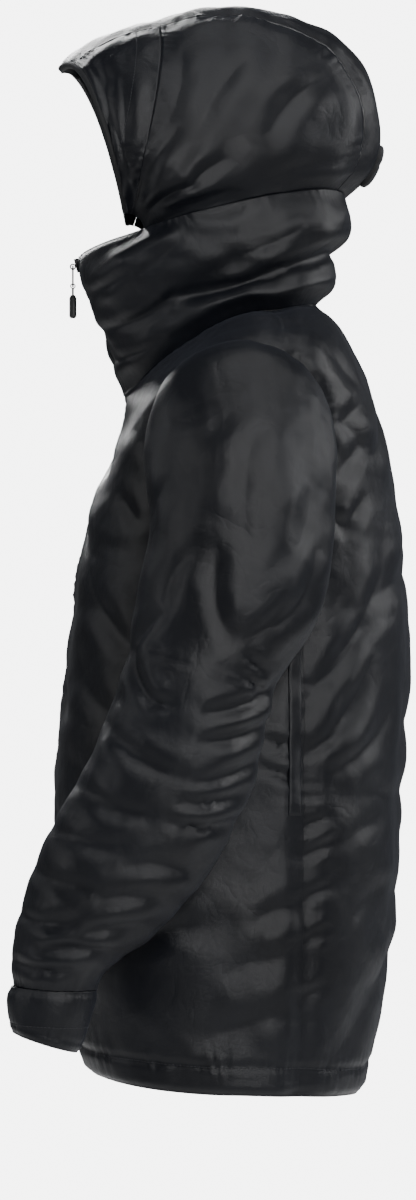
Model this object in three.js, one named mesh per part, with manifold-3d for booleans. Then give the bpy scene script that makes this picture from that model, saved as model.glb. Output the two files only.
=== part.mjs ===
// A hooded, padded parka, zipped to the chin, in the shape it takes on a standing wearer.
// Millimetres, +Z up. The wearer faces -Y, so the wearer's left is +X.
// The origin is the middle of the neck, level with the tops of the shoulders.
// Every padded panel is a grid of points on a worked-out surface, sunk at its sewn
// edges and along its folds, over a plain inner face.

import * as THREE from 'three';
import Module from 'manifold-3d';
import { mergeVertices } from 'three/addons/utils/BufferGeometryUtils.js';

const wasm = await Module();
wasm.setup();

// Driving sizes
const SEAM_GAP = 0.3;
const ARMHOLE_GAP = 0.6;
const BODY_WALL = 12;
const SLEEVE_WALL = 9;
const COLLAR_WALL = 8;
const HOOD_WALL = 7;
const CUFF_WALL = 4;
const SEAM_SINK = 5;
const SEAM_SOFTNESS = 16;
const ZIP_HALF = 4.5;
const ZIP_TAPE = { bodyDepth: 6, collarDepth: 3.5, thickness: 3, bodyCells: 16, collarCells: 6 };
const SLIDER = { half: 4.8, length: 13, under: -2, over: 2, fromTop: 9 };
const BRIDGE = { width: 2.4, hole: 1.7, radius: 3, sides: 16 };
const PULL_TAB = { half: 3.5, length: 20, thickness: 1.6, eyeHalf: 1.75, eyeLong: 3.2 };
const PULL_END = { ringWidth: 2, ringHole: 1.6, ringRadius: 2.6, neck: 7, radius: 3.5, length: 22 };
const HOOD_TAB = { half: 17, fromAngle: 12.5, toAngle: 20, gap: -0.7, thickness: 5 };
const WELT = { fromLine: 7, toLine: 11, inner: 0.58, outer: 0.97, gap: 0.9, thickness: 2 };
const FRONT_SQUARENESS = 3.0;
const BACK_SQUARENESS = 2.5;
const LOOP_RISE_POWER = 1.6;
const FAR_SIDE_SHIFT = { y: 7, z: -16, blend: 90 };

// Grid cells in each piece
const FRONT_CELLS = { across: 11, along: 25 };
const BACK_CELLS = { across: 20, along: 25 };
const SLEEVE_CELLS = { around: 20, along: 21 };
const CUFF_CELLS = { around: 20, along: 2 };
const COLLAR_CELLS = { across: 13, along: 8 };
const HOOD_SIDE_CELLS = { across: 10, along: 10 };
const HOOD_BRIM_CELLS = { across: 10, along: 3 };
const HOOD_CROWN_ACROSS = 6;

const DEGREE = Math.PI / 180;

function table(names, rows) {
  return rows.map((row) => Object.fromEntries(names.map((name, k) => [name, row[k]])));
}

// Level loops of the body from the hem to the neck. Each loop is a squared oval with its
// widest point at (half, sideY, sideZ), and its own height at the front, side and back.
// seamY is where the side seam, and above the armhole the shoulder seam, crosses it.
const BODY = table(
  ['half', 'frontY', 'frontZ', 'sideY', 'sideZ', 'backY', 'backZ', 'seamY'],
  [
    [206, -142, -681, -8, -694, 123, -703, 60],
    [207, -152, -650, -8, -659, 131, -662, 61],
    [209, -163, -590, -8, -596, 143, -600, 62],
    [210, -169, -520, -7, -522, 152, -525, 63],
    [208, -170, -452, -5, -452, 156, -452, 63],
    [205, -168, -390, -3, -388, 160, -388, 63],
    [200, -161, -322, 0, -318, 164, -320, 63],
    [195, -154, -256, 2, -254, 163, -256, 63],
    [193, -146, -200, 4, -198, 159, -202, 62],
    [194, -132, -150, 8, -142, 153, -150, 56],
    [198, -119, -114, 14, -88, 145, -106, 44],
    [200, -109, -90, 22, -52, 135, -68, 40],
    [195, -105, -75, 32, -20, 124, -36, 42],
    [176, -104, -65, 36, 3, 112, -8, 44],
    [140, -105, -56, 36, 19, 97, 17, 44],
    [92, -108, -48, 30, 30, 79, 39, 36],
  ],
);

// Loops of the collar above the neck seam, up to the one below its top edge.
// The third loop is the deep crease between its lower and upper rolls.
const COLLAR = table(
  ['half', 'frontY', 'frontZ', 'sideY', 'sideZ', 'backY', 'backZ'],
  [
    [92, -108, -47.6, 30, 30.5, 79, 39.6],
    [100, -113, -30, 20, 42, 96, 60],
    [93, -119, -6, 8, 56, 91, 85],
    [103, -132, 26, -2, 80, 109, 104],
    [104, -145, 60, -10, 101, 111, 121],
  ],
);

// Sections of the left sleeve from inside the shoulder to the cuff. Each is an oval
// through an inner point, an outer point, a front and a back. drop is how much lower
// its back lies than its front.
const SLEEVE = table(
  ['innerX', 'innerZ', 'outerX', 'outerZ', 'frontY', 'backY', 'drop'],
  [
    [164, -142, 164, -30, -60, 76, 0],
    [188, -168, 202, -8, -76, 86, 0],
    [198, -184, 234, -12, -82, 89, 0],
    [202, -193, 262, -36, -83, 90, 0],
    [204, -201, 286, -77, -81, 89, 0],
    [205, -210, 303, -124, -79, 87, 0],
    [206, -224, 311, -169, -81, 85, 0],
    [207, -247, 315, -214, -88, 81, 0],
    [208, -274, 317, -257, -92, 66, -12],
    [210, -307, 318, -298, -96, 35, -36],
    [212, -347, 319, -341, -108, 25, -42],
    [213, -392, 319, -388, -127, 13, -44],
    [213, -440, 317, -438, -151, -9, -42],
    [209, -490, 314, -488, -178, -38, -36],
    [208, -530, 308, -529, -193, -71, -26],
    [211, -556, 301, -556, -200, -101, -16],
    [215, -575, 294, -575, -204, -117, -8],
    [217, -592, 290, -592, -205, -123, -5],
  ],
);

// Sections of the left cuff band.
const CUFF = table(
  ['innerX', 'innerZ', 'outerX', 'outerZ', 'frontY', 'backY', 'drop'],
  [
    [217, -592.4, 290, -592.4, -205, -124, -5],
    [218, -610, 289, -610, -207, -130, -10],
    [221, -641, 286, -641, -204, -142, -19],
  ],
);

// The hood is a fan of arches about a pivot by the chin. Each arch reaches out from the
// pivot by reach, and is twice half wide. angle is measured up from straight back.
const HOOD_PIVOT = { y: -102, z: 102, cornerHalf: 75, cornerReach: 14, widestReach: 77 };
const HOOD = table(
  ['angle', 'reach', 'half'],
  [
    [6, 196, 98],
    [15, 240, 103],
    [23, 261, 110],
    [32, 274, 116],
    [41, 276, 120],
    [50, 266, 122],
    [60, 250, 123],
    [70, 231, 122],
    [80, 214, 120],
    [90, 200, 117],
    [100, 189, 114],
    [113, 174, 110],
  ],
);
const CROWN_HALF = 47;
const COLLAR_CORNER_ANGLE = 50 * DEGREE;
const COLLAR_TOP_FRONT = { y: -152, z: 84 };
const COLLAR_TOP_BEND = { x: 46, y: -151, z: 87 };

// Folds drawn in the plane seen from the wearer's side: each is a soft trough from one
// point to another. They lie on both sides, a little lower and further back on the right.
const FOLD = ['fromY', 'fromZ', 'toY', 'toZ', 'width', 'depth'];
const BODY_FOLDS = table(FOLD, [
  [140, -186, 126, -262, 15, 7],
  [126, -262, 90, -318, 15, 6],
  [128, -286, 92, -352, 14, 5],
  [92, -352, 66, -388, 14, 5],
  [150, -332, 100, -398, 17, 6],
  [150, -590, 92, -676, 18, 4],
  [124, -12, 112, -60, 14, 5],
  [112, -60, 92, -88, 14, 5],
  [84, -158, 120, -146, 14, 5],
  [-160, -138, -96, -160, 16, 4],
  [-140, -330, -60, -400, 18, 5],
  [60, -440, 20, -470, 13, 4],
  [60, -500, 4, -540, 15, 4],
  [60, -575, -30, -610, 16, 4],
  [-150, -520, -60, -560, 20, 4],
  [118, -420, 66, -456, 14, 4],
]);
const SLEEVE_FOLDS = table(FOLD, [
  [-95, -218, -92, -292, 13, 6],
  [-94, -290, -60, -334, 13, 6],
  [-138, -330, -62, -346, 12, 6],
  [-104, -322, -142, -412, 13, 6],
  [36, -292, -20, -300, 14, 6],
  [22, -342, -40, -350, 12, 6],
  [12, -396, -50, -388, 13, 5],
  [-4, -442, -70, -440, 13, 5],
  [-45, -506, -108, -482, 13, 5],
  [-178, -466, -120, -476, 13, 5],
  [-194, -520, -130, -516, 12, 5],
  [-110, -556, -170, -544, 10, 5],
  [-6, -150, -14, -226, 20, 4],
  [50, -130, 30, -210, 20, 4],
]);
const HOOD_FOLDS = table(FOLD, [
  [-88, 118, -58, 186, 11, 5],
  [-84, 112, -14, 160, 12, 5],
  [-80, 106, 12, 130, 12, 4],
  [-118, 150, -122, 260, 10, 4],
  [30, 150, 96, 178, 15, 4],
  [-40, 196, -8, 262, 15, 3],
  [20, 196, 70, 252, 16, 3],
]);

const SHELL_CLOTH = { color: 0x1b1c20, roughness: 0.5, metalness: 0 };
const DARK_CLOTH = { color: 0x131316, roughness: 0.75, metalness: 0 };
const ZIP_METAL = { color: 0x5b5c60, roughness: 0.35, metalness: 0.9 };
const MOULDED = { color: 0x101012, roughness: 0.55, metalness: 0 };

// Smooth blend of four values, through the middle two
function blend(before, from, to, after, part) {
  const a = 2 * from;
  const b = to - before;
  const c = 2 * before - 5 * from + 4 * to - after;
  const d = 3 * from - before - 3 * to + after;
  return (a + b * part + c * part * part + d * part * part * part) / 2;
}

// The row of a table at a place between its rows
function rowAt(rows, place) {
  const last = rows.length - 1;
  const k = Math.min(Math.max(Math.floor(place), 0), last - 1);
  const before = rows[Math.max(k - 1, 0)];
  const after = rows[Math.min(k + 2, last)];
  const row = {};
  for (const name of Object.keys(rows[0])) {
    row[name] = blend(before[name], rows[k][name], rows[k + 1][name], after[name], place - k);
  }
  return row;
}

// The row of a table at a value of its first column, which rises from row to row
function rowFor(rows, column, value) {
  const last = rows.length - 1;
  let k = 0;
  while (k < last - 1 && rows[k + 1][column] < value) {
    k += 1;
  }
  const part = (value - rows[k][column]) / (rows[k + 1][column] - rows[k][column]);
  return rowAt(rows, k + part);
}

// Point of a level loop. The angle runs from the front (0) by the wearer's left (90).
function loopPoint(row, angle) {
  const ahead = Math.cos(angle);
  const aside = Math.sin(angle);
  const squareness = ahead > 0 ? FRONT_SQUARENESS : BACK_SQUARENESS;
  const sum = Math.abs(ahead) ** squareness + Math.abs(aside) ** squareness;
  const swell = sum ** (-1 / squareness);
  const share = Math.abs(ahead) * swell;
  const rise = share ** LOOP_RISE_POWER;
  const endY = ahead > 0 ? row.frontY : row.backY;
  const endZ = ahead > 0 ? row.frontZ : row.backZ;
  return new THREE.Vector3(
    row.half * aside * swell,
    row.sideY + (endY - row.sideY) * share,
    row.sideZ + (endZ - row.sideZ) * rise,
  );
}

// Angle at which a loop crosses its seam line, behind its widest point
function seamAngle(row) {
  const share = (row.seamY - row.sideY) / (row.backY - row.sideY);
  const aside = (1 - share ** BACK_SQUARENESS) ** (1 / BACK_SQUARENESS);
  return Math.PI / 2 + Math.atan2(share, aside);
}

function bodyPoint(angle, place) {
  return loopPoint(rowAt(BODY, place), angle);
}

// Point of a sleeve or cuff section. The turn runs from its back (0) to its outer side (90).
function sectionPoint(row, turn) {
  const along = Math.cos(turn);
  const outward = Math.sin(turn);
  return new THREE.Vector3(
    (row.innerX + row.outerX) / 2 + (row.outerX - row.innerX) / 2 * outward,
    (row.frontY + row.backY) / 2 + (row.backY - row.frontY) / 2 * along,
    (row.innerZ + row.outerZ) / 2 + (row.outerZ - row.innerZ) / 2 * outward + row.drop / 2 * along,
  );
}

// Point of the hood on an arch. The rise runs from its lower front corner (0) to the
// middle of the head (1), and on to 2 on the other side.
function hoodPoint(angle, rise) {
  const row = rowFor(HOOD, 'angle', angle);
  const lean = Math.acos(HOOD_PIVOT.cornerHalf / row.half);
  const tau = -lean + (Math.PI / 2 + lean) * rise;
  const behind = (HOOD_PIVOT.widestReach - HOOD_PIVOT.cornerReach) / Math.sin(lean);
  const span = Math.sin(tau) > 0 ? row.reach - HOOD_PIVOT.widestReach : behind;
  const reach = HOOD_PIVOT.widestReach + span * Math.sin(tau);
  return new THREE.Vector3(
    row.half * Math.cos(tau),
    HOOD_PIVOT.y + reach * Math.cos(angle * DEGREE),
    HOOD_PIVOT.z + reach * Math.sin(angle * DEGREE),
  );
}

// Seam lines of the hood, as angles of the fan at each rise
const hoodFoot = (rise) => 15.5 - 6.5 * mirrorRise(rise) ** 2;
const hoodBrimSeam = (rise) => 75 + 9 * mirrorRise(rise) ** 2;
const hoodFace = (rise) => 101 + 11.5 * mirrorRise(rise) ** 2;

function mirrorRise(rise) {
  return rise > 1 ? 2 - rise : rise;
}

// The rise at which an arch is as wide as the crown strip
function crownRise(angle) {
  const row = rowFor(HOOD, 'angle', angle);
  const lean = Math.acos(HOOD_PIVOT.cornerHalf / row.half);
  const tau = Math.acos(CROWN_HALF / row.half);
  return (tau + lean) / (Math.PI / 2 + lean);
}

// Top edge of the collar: free under the chin, then along the foot of the hood
function collarTop(angle) {
  if (angle > COLLAR_CORNER_ANGLE) {
    const rise = (angle - COLLAR_CORNER_ANGLE) / (Math.PI - COLLAR_CORNER_ANGLE);
    const point = hoodPoint(hoodFoot(rise), rise);
    point.z -= SEAM_GAP;
    return point;
  }
  const corner = hoodPoint(hoodFoot(0), 0);
  corner.z -= SEAM_GAP;
  const front = new THREE.Vector3(0, COLLAR_TOP_FRONT.y, COLLAR_TOP_FRONT.z);
  const bend = new THREE.Vector3(COLLAR_TOP_BEND.x, COLLAR_TOP_BEND.y, COLLAR_TOP_BEND.z);
  return new THREE.QuadraticBezierCurve3(front, bend, corner).getPoint(angle / COLLAR_CORNER_ANGLE);
}

function collarPoint(angle, place) {
  const points = COLLAR.map((row) => loopPoint(row, angle));
  points.push(collarTop(angle));
  const last = points.length - 1;
  const k = Math.min(Math.max(Math.floor(place), 0), last - 1);
  const before = points[Math.max(k - 1, 0)];
  const after = points[Math.min(k + 2, last)];
  const mix = (axis) => blend(before[axis], points[k][axis], points[k + 1][axis], after[axis], place - k);
  return new THREE.Vector3(mix('x'), mix('y'), mix('z'));
}

// Depth of the folds at a point
function foldDepth(folds, point) {
  const far = Math.min(Math.max(-point.x / FAR_SIDE_SHIFT.blend, 0), 1);
  const y = point.y - FAR_SIDE_SHIFT.y * far;
  const z = point.z - FAR_SIDE_SHIFT.z * far;
  let depth = 0;
  for (const fold of folds) {
    const runY = fold.toY - fold.fromY;
    const runZ = fold.toZ - fold.fromZ;
    const run = Math.hypot(runY, runZ);
    const along = ((y - fold.fromY) * runY + (z - fold.fromZ) * runZ) / run;
    const aside = ((y - fold.fromY) * runZ - (z - fold.fromZ) * runY) / run;
    const past = Math.max(-along, along - run, 0);
    depth += fold.depth * Math.exp(-((aside / fold.width) ** 2) - (past / fold.width) ** 2);
  }
  return depth;
}

// Outward normal of a surface, from neighbouring points
function outwardNormal(surface, u, v, inside) {
  const step = 0.002;
  const alongU = surface(Math.min(u + step, 1), v).sub(surface(Math.max(u - step, 0), v));
  const alongV = surface(u, Math.min(v + step, 1)).sub(surface(u, Math.max(v - step, 0)));
  const normal = alongU.cross(alongV).normalize();
  const away = surface(u, v).sub(inside(surface(u, v)));
  return normal.dot(away) < 0 ? normal.negate() : normal;
}

// How far a sewn edge draws the surface in, at a distance from it
function seamSink(distance) {
  return SEAM_SINK * Math.exp(-((distance / SEAM_SOFTNESS) ** 2));
}

// Joins an outer and an inner grid of points into one closed wall. With closed, the grid
// meets itself across its first direction.
function wallGeometry(outer, inner, closed) {
  const across = outer.length;
  const along = outer[0].length;
  const vertices = [];
  outer.concat(inner).forEach((line) => line.forEach((point) => vertices.push(point.x, point.y, point.z)));
  const index = (side, i, j) => (side * across + (i % across)) * along + j;
  const triangles = [];
  const quad = (a, b, c, d) => triangles.push(a, b, c, a, c, d);
  const cells = closed ? across : across - 1;
  for (let i = 0; i < cells; i += 1) {
    for (let j = 0; j < along - 1; j += 1) {
      quad(index(0, i, j), index(0, i + 1, j), index(0, i + 1, j + 1), index(0, i, j + 1));
      quad(index(1, i, j), index(1, i, j + 1), index(1, i + 1, j + 1), index(1, i + 1, j));
    }
    quad(index(0, i, 0), index(1, i, 0), index(1, i + 1, 0), index(0, i + 1, 0));
    quad(index(0, i, along - 1), index(0, i + 1, along - 1), index(1, i + 1, along - 1), index(1, i, along - 1));
  }
  if (!closed) {
    for (let j = 0; j < along - 1; j += 1) {
      quad(index(0, 0, j), index(0, 0, j + 1), index(1, 0, j + 1), index(1, 0, j));
      const end = across - 1;
      quad(index(0, end, j), index(1, end, j), index(1, end, j + 1), index(0, end, j + 1));
    }
  }
  return orientedGeometry(vertices, triangles);
}

// A geometry whose faces point out, whichever way its grid ran
function orientedGeometry(vertices, triangles) {
  let volume = 0;
  const corner = (k) => new THREE.Vector3().fromArray(vertices, triangles[k] * 3);
  for (let k = 0; k < triangles.length; k += 3) {
    volume += corner(k).dot(corner(k + 1).cross(corner(k + 2)));
  }
  if (volume < 0) {
    for (let k = 0; k < triangles.length; k += 3) {
      [triangles[k], triangles[k + 1]] = [triangles[k + 1], triangles[k]];
    }
  }
  const geometry = new THREE.BufferGeometry();
  geometry.setAttribute('position', new THREE.Float32BufferAttribute(vertices, 3));
  geometry.setIndex(triangles);
  return geometry;
}

// Evenly spaced values from 0 to 1
function evenLines(cells) {
  return Array.from({ length: cells + 1 }, (_, k) => k / cells);
}

// The outer and inner grids of a padded panel on a surface of u and v from 0 to 1, with
// alongLines as its values of v. sink gives the depth of the outer face, and flatEnds
// the values of v where the end face is level. A zipEdge runs straight in at u = 0.
function panel({ surface, inside, across, alongLines, wall, sink, flatEnds = [], zipEdge = false }) {
  const outer = [];
  const inner = [];
  for (let i = 0; i <= across; i += 1) {
    const outerLine = [];
    const innerLine = [];
    for (const v of alongLines) {
      const u = i / across;
      const point = surface(u, v);
      const normal = outwardNormal(surface, u, v, inside);
      if (flatEnds.includes(v)) {
        normal.setZ(0).normalize();
      }
      if (zipEdge && i === 0) {
        normal.setX(0).normalize();
      }
      outerLine.push(point.clone().addScaledVector(normal, -sink(u, v, point)));
      innerLine.push(point.clone().addScaledVector(normal, -wall));
    }
    outer.push(outerLine);
    inner.push(innerLine);
  }
  return { outer, inner };
}

// A solid filled across its loops, used to cut other pieces
function filledTube(pointAt, around, along) {
  const vertices = [];
  const triangles = [];
  for (let j = 0; j <= along; j += 1) {
    for (let i = 0; i < around; i += 1) {
      const point = pointAt(i / around, j / along);
      vertices.push(point.x, point.y, point.z);
    }
  }
  const index = (i, j) => j * around + (i % around);
  for (let j = 0; j < along; j += 1) {
    for (let i = 0; i < around; i += 1) {
      triangles.push(index(i, j), index(i + 1, j), index(i + 1, j + 1));
      triangles.push(index(i, j), index(i + 1, j + 1), index(i, j + 1));
    }
  }
  for (const j of [0, along]) {
    const middle = new THREE.Vector3();
    for (let i = 0; i < around; i += 1) {
      middle.add(new THREE.Vector3().fromArray(vertices, index(i, j) * 3).divideScalar(around));
    }
    const centre = vertices.length / 3;
    vertices.push(middle.x, middle.y, middle.z);
    for (let i = 0; i < around; i += 1) {
      const from = index(i, j);
      const to = index(i + 1, j);
      triangles.push(...(j === 0 ? [centre, to, from] : [centre, from, to]));
    }
  }
  return orientedGeometry(vertices, triangles);
}

function toSolid(geometry) {
  const bare = geometry.clone();
  bare.deleteAttribute('normal');
  bare.deleteAttribute('uv');
  const merged = mergeVertices(bare);
  const solidMesh = new wasm.Mesh({
    numProp: 3,
    vertProperties: new Float32Array(merged.attributes.position.array),
    triVerts: new Uint32Array(merged.index.array),
  });
  return new wasm.Manifold(solidMesh);
}

function toGeometry(solid) {
  const result = solid.getMesh();
  const geometry = new THREE.BufferGeometry();
  geometry.setAttribute('position', new THREE.BufferAttribute(result.vertProperties, 3));
  geometry.setIndex(new THREE.BufferAttribute(result.triVerts, 1));
  return geometry;
}

const parka = new THREE.Group();

function addMesh(name, geometry, look, parent = parka) {
  const shown = geometry.clone();
  shown.computeVertexNormals();
  const mesh = new THREE.Mesh(shown, new THREE.MeshStandardMaterial(look));
  mesh.name = name;
  parent.add(mesh);
  return mesh;
}

// The same piece on the wearer's other side
function mirrored(geometry) {
  const copy = geometry.clone();
  copy.scale(-1, 1, 1);
  const order = Array.from(copy.index.array);
  for (let k = 0; k < order.length; k += 3) {
    [order[k], order[k + 1]] = [order[k + 1], order[k]];
  }
  copy.setIndex(order);
  return copy;
}

// Body panels
const BODY_TOP = BODY.length - 1;
const middleOfBody = (point) => new THREE.Vector3(0, 0, Math.min(point.z, -60));

// Angle of a seam, moved aside by half the gap between two pieces
function besideSeam(angle, row, direction) {
  return angle + direction * (SEAM_GAP / 2) / row.half;
}

function frontSurface(side) {
  return (u, v) => {
    const row = rowAt(BODY, v * BODY_TOP);
    const from = ZIP_HALF / row.half;
    const to = besideSeam(seamAngle(row), row, -1);
    return loopPoint(row, side * (from + (to - from) * u));
  };
}

function backSurface(u, v) {
  const row = rowAt(BODY, v * BODY_TOP);
  const from = besideSeam(seamAngle(row), row, 1);
  const to = 2 * Math.PI - from;
  return loopPoint(row, from + (to - from) * u);
}

// Half the length of a body loop, near enough to tell how far a point is from a seam
const BODY_GIRTH_HALF = 560;

function bodySink(seamDistance) {
  return (u, v, point) => {
    const bodyHeight = BODY[BODY_TOP].backZ - BODY[0].backZ;
    const endDistance = Math.min(v, 1 - v) * bodyHeight;
    const edge = Math.max(seamSink(seamDistance(u)), seamSink(endDistance));
    return Math.min(edge + foldDepth(BODY_FOLDS, point), BODY_WALL - 4);
  };
}

function armholeCutter(side) {
  const inset = SLEEVE_WALL - 1;
  const rows = SLEEVE.slice(0, 4);
  return filledTube((around, along) => {
    const row = rowAt(rows, along * (rows.length - 1));
    const slim = {
      ...row,
      innerZ: row.innerZ + inset,
      outerZ: row.outerZ - inset,
      frontY: row.frontY + inset,
      backY: row.backY - inset,
    };
    const point = sectionPoint(slim, around * 2 * Math.PI);
    point.x *= side;
    return point;
  }, SLEEVE_CELLS.around, 3);
}

function bodySolid() {
  return filledTube((around, along) => {
    const angle = around * 2 * Math.PI;
    const place = along * BODY_TOP;
    const surface = (u, v) => bodyPoint(u * 2 * Math.PI, v * BODY_TOP);
    const normal = outwardNormal(surface, around, along, middleOfBody);
    return bodyPoint(angle, place).addScaledVector(normal, ARMHOLE_GAP);
  }, 72, 50);
}

const cutters = [1, -1].map((side) => toSolid(armholeCutter(side)));

function frontSheet(side) {
  return panel({
    surface: frontSurface(side),
    inside: middleOfBody,
    across: FRONT_CELLS.across,
    alongLines: evenLines(FRONT_CELLS.along),
    wall: BODY_WALL,
    sink: bodySink((u) => Math.min(u, 1 - u) * BODY_GIRTH_HALF * 0.6),
    zipEdge: true,
  });
}

function makeFront(side) {
  const sheet = frontSheet(side);
  const solid = toSolid(wallGeometry(sheet.outer, sheet.inner, false));
  return toGeometry(solid.subtract(cutters[side > 0 ? 0 : 1]));
}

function makeBack() {
  const sheet = panel({
    surface: backSurface,
    inside: middleOfBody,
    across: BACK_CELLS.across,
    alongLines: evenLines(BACK_CELLS.along),
    wall: BODY_WALL,
    sink: bodySink((u) => Math.min(u, 1 - u) * BODY_GIRTH_HALF * 0.8),
  });
  const solid = toSolid(wallGeometry(sheet.outer, sheet.inner, false));
  return toGeometry(solid.subtract(cutters[0]).subtract(cutters[1]));
}

addMesh('front_left', makeFront(1), SHELL_CLOTH);
addMesh('front_right', makeFront(-1), SHELL_CLOTH);
addMesh('back', makeBack(), SHELL_CLOTH);

// Sleeves and cuffs
function tubeWall({ rows, side, cells, wall, sink }) {
  const last = rows.length - 1;
  const surface = (u, v) => {
    const point = sectionPoint(rowAt(rows, v * last), u * 2 * Math.PI);
    point.x *= side;
    return point;
  };
  const outer = [];
  const inner = [];
  for (let i = 0; i < cells.around; i += 1) {
    const outerLine = [];
    const innerLine = [];
    for (let j = 0; j <= cells.along; j += 1) {
      const u = i / cells.around;
      const v = j / cells.along;
      const row = rowAt(rows, v * last);
      const centre = new THREE.Vector3(
        side * (row.innerX + row.outerX) / 2,
        (row.frontY + row.backY) / 2,
        (row.innerZ + row.outerZ) / 2,
      );
      const point = surface(u, v);
      const inward = centre.sub(point).normalize();
      outerLine.push(point.clone().addScaledVector(inward, sink(v, point)));
      innerLine.push(point.clone().addScaledVector(inward, wall));
    }
    outer.push(outerLine);
    inner.push(innerLine);
  }
  return wallGeometry(outer, inner, true);
}

const SLEEVE_LENGTH = 660;
const torso = toSolid(bodySolid());

function makeSleeve(side) {
  const geometry = tubeWall({
    rows: SLEEVE,
    side,
    cells: SLEEVE_CELLS,
    wall: SLEEVE_WALL,
    sink: (v, point) => Math.min(
      seamSink((1 - v) * SLEEVE_LENGTH) * 0.6 + foldDepth(SLEEVE_FOLDS, point),
      SLEEVE_WALL - 3,
    ),
  });
  return toGeometry(toSolid(geometry).subtract(torso));
}

function makeCuff(side) {
  return tubeWall({
    rows: CUFF,
    side,
    cells: CUFF_CELLS,
    wall: CUFF_WALL + SEAM_SINK * 0.6,
    sink: () => SEAM_SINK * 0.6,
  });
}

addMesh('sleeve_left', makeSleeve(1), SHELL_CLOTH);
addMesh('sleeve_right', makeSleeve(-1), SHELL_CLOTH);
addMesh('cuff_left', makeCuff(1), SHELL_CLOTH);
addMesh('cuff_right', makeCuff(-1), SHELL_CLOTH);

// Collar
const COLLAR_TOP_PLACE = COLLAR.length;
const insideNeck = (point) => new THREE.Vector3(0, -20, point.z);

function collarSurface(u, v) {
  const row = rowAt(COLLAR, Math.min(v * COLLAR_TOP_PLACE, COLLAR.length - 1));
  const from = ZIP_HALF / row.half;
  const to = Math.PI - SEAM_GAP / 2 / row.half;
  return collarPoint(from + (to - from) * u, v * COLLAR_TOP_PLACE);
}

function makeCollar() {
  const sheet = panel({
    surface: collarSurface,
    inside: insideNeck,
    across: COLLAR_CELLS.across,
    alongLines: evenLines(COLLAR_CELLS.along),
    wall: COLLAR_WALL,
    sink: (u) => seamSink(u * 260) * 0.5,
    flatEnds: [0, 1],
    zipEdge: true,
  });
  return toGeometry(toSolid(wallGeometry(sheet.outer, sheet.inner, false)).subtract(torso));
}

const collar = makeCollar();
addMesh('collar_left', collar, SHELL_CLOTH);
addMesh('collar_right', mirrored(collar), SHELL_CLOTH);

// Hood
const insideHood = () => new THREE.Vector3(0, -20, 180);
const CROWN_EDGE_RISE = 0.75;
const HOOD_ARCH_LENGTH = 330;
const HOOD_FAN_LENGTH = 300;
// Half the seam gap as a share of a rise, and of the fan between two seams
const RISE_GAP = SEAM_GAP / 2 / HOOD_ARCH_LENGTH;
const FAN_GAP = SEAM_GAP / 2 / (HOOD_FAN_LENGTH / 2);

// Angle of the fan at a place from the foot (0) by the brim seam (1) to the face (2)
function fanAngle(rise, place) {
  if (place <= 1) {
    return hoodFoot(rise) + (hoodBrimSeam(rise) - hoodFoot(rise)) * place;
  }
  return hoodBrimSeam(rise) + (hoodFace(rise) - hoodBrimSeam(rise)) * (place - 1);
}

// Rise of the crown strip's edge at a place
function edgeRise(place) {
  return crownRise(fanAngle(CROWN_EDGE_RISE, place));
}

function hoodSink(acrossSeams, alongSeams) {
  return (u, v, point) => {
    const fromAcross = Math.min(...acrossSeams.map((seam) => Math.abs(u - seam.at) * seam.length));
    const fromAlong = Math.min(...alongSeams.map((seam) => Math.abs(v - seam.at) * seam.length));
    const edge = 0.7 * seamSink(Math.min(fromAcross, fromAlong));
    return Math.min(edge + foldDepth(HOOD_FOLDS, point), HOOD_WALL - 2.5);
  };
}

function hoodSideSurface(u, v) {
  const place = v * (1 - FAN_GAP);
  const rise = (edgeRise(place) - RISE_GAP) * u;
  return hoodPoint(fanAngle(rise, place), rise);
}

function hoodBrimSurface(u, v) {
  const place = 1 + FAN_GAP * 2 + (1 - FAN_GAP * 2) * v;
  const rise = (edgeRise(place) - RISE_GAP) * u;
  return hoodPoint(fanAngle(rise, place), rise);
}

function hoodCrownSurface(u, v) {
  const from = edgeRise(2 * v) + RISE_GAP;
  const rise = from + (2 - 2 * from) * u;
  return hoodPoint(fanAngle(rise, 2 * v), rise);
}

// The crown strip's lines lie level with those of the side and brim panels
const crownLines = [
  ...evenLines(HOOD_SIDE_CELLS.along).map((v) => v / 2),
  ...evenLines(HOOD_BRIM_CELLS.along).slice(1).map((v) => (1 + v) / 2),
];

function hoodPanel(surface, across, alongLines, sink, flatEnds) {
  const sheet = panel({
    surface,
    inside: insideHood,
    across,
    alongLines,
    wall: HOOD_WALL,
    sink,
    flatEnds,
  });
  return wallGeometry(sheet.outer, sheet.inner, false);
}

const sideSink = hoodSink(
  [{ at: 1, length: HOOD_ARCH_LENGTH }],
  [{ at: 0, length: HOOD_FAN_LENGTH }, { at: 1, length: HOOD_FAN_LENGTH }],
);
const brimSink = hoodSink(
  [{ at: 1, length: HOOD_ARCH_LENGTH }],
  [{ at: 0, length: 80 }, { at: 1, length: 80 }],
);
const crownSink = hoodSink(
  [{ at: 0, length: 2 * CROWN_HALF }, { at: 1, length: 2 * CROWN_HALF }],
  [{ at: 0, length: HOOD_FAN_LENGTH }, { at: 1, length: HOOD_FAN_LENGTH }],
);
const sideLines = evenLines(HOOD_SIDE_CELLS.along);
const brimLines = evenLines(HOOD_BRIM_CELLS.along);
const hoodSide = hoodPanel(hoodSideSurface, HOOD_SIDE_CELLS.across, sideLines, sideSink, [0]);
const hoodBrim = hoodPanel(hoodBrimSurface, HOOD_BRIM_CELLS.across, brimLines, brimSink, []);
const hoodCrown = hoodPanel(hoodCrownSurface, HOOD_CROWN_ACROSS, crownLines, crownSink, [0]);
addMesh('hood_side_left', hoodSide, SHELL_CLOTH);
addMesh('hood_side_right', mirrored(hoodSide), SHELL_CLOTH);
addMesh('hood_brim_left', hoodBrim, SHELL_CLOTH);
addMesh('hood_brim_right', mirrored(hoodBrim), SHELL_CLOTH);
addMesh('hood_crown', hoodCrown, SHELL_CLOTH);


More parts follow.
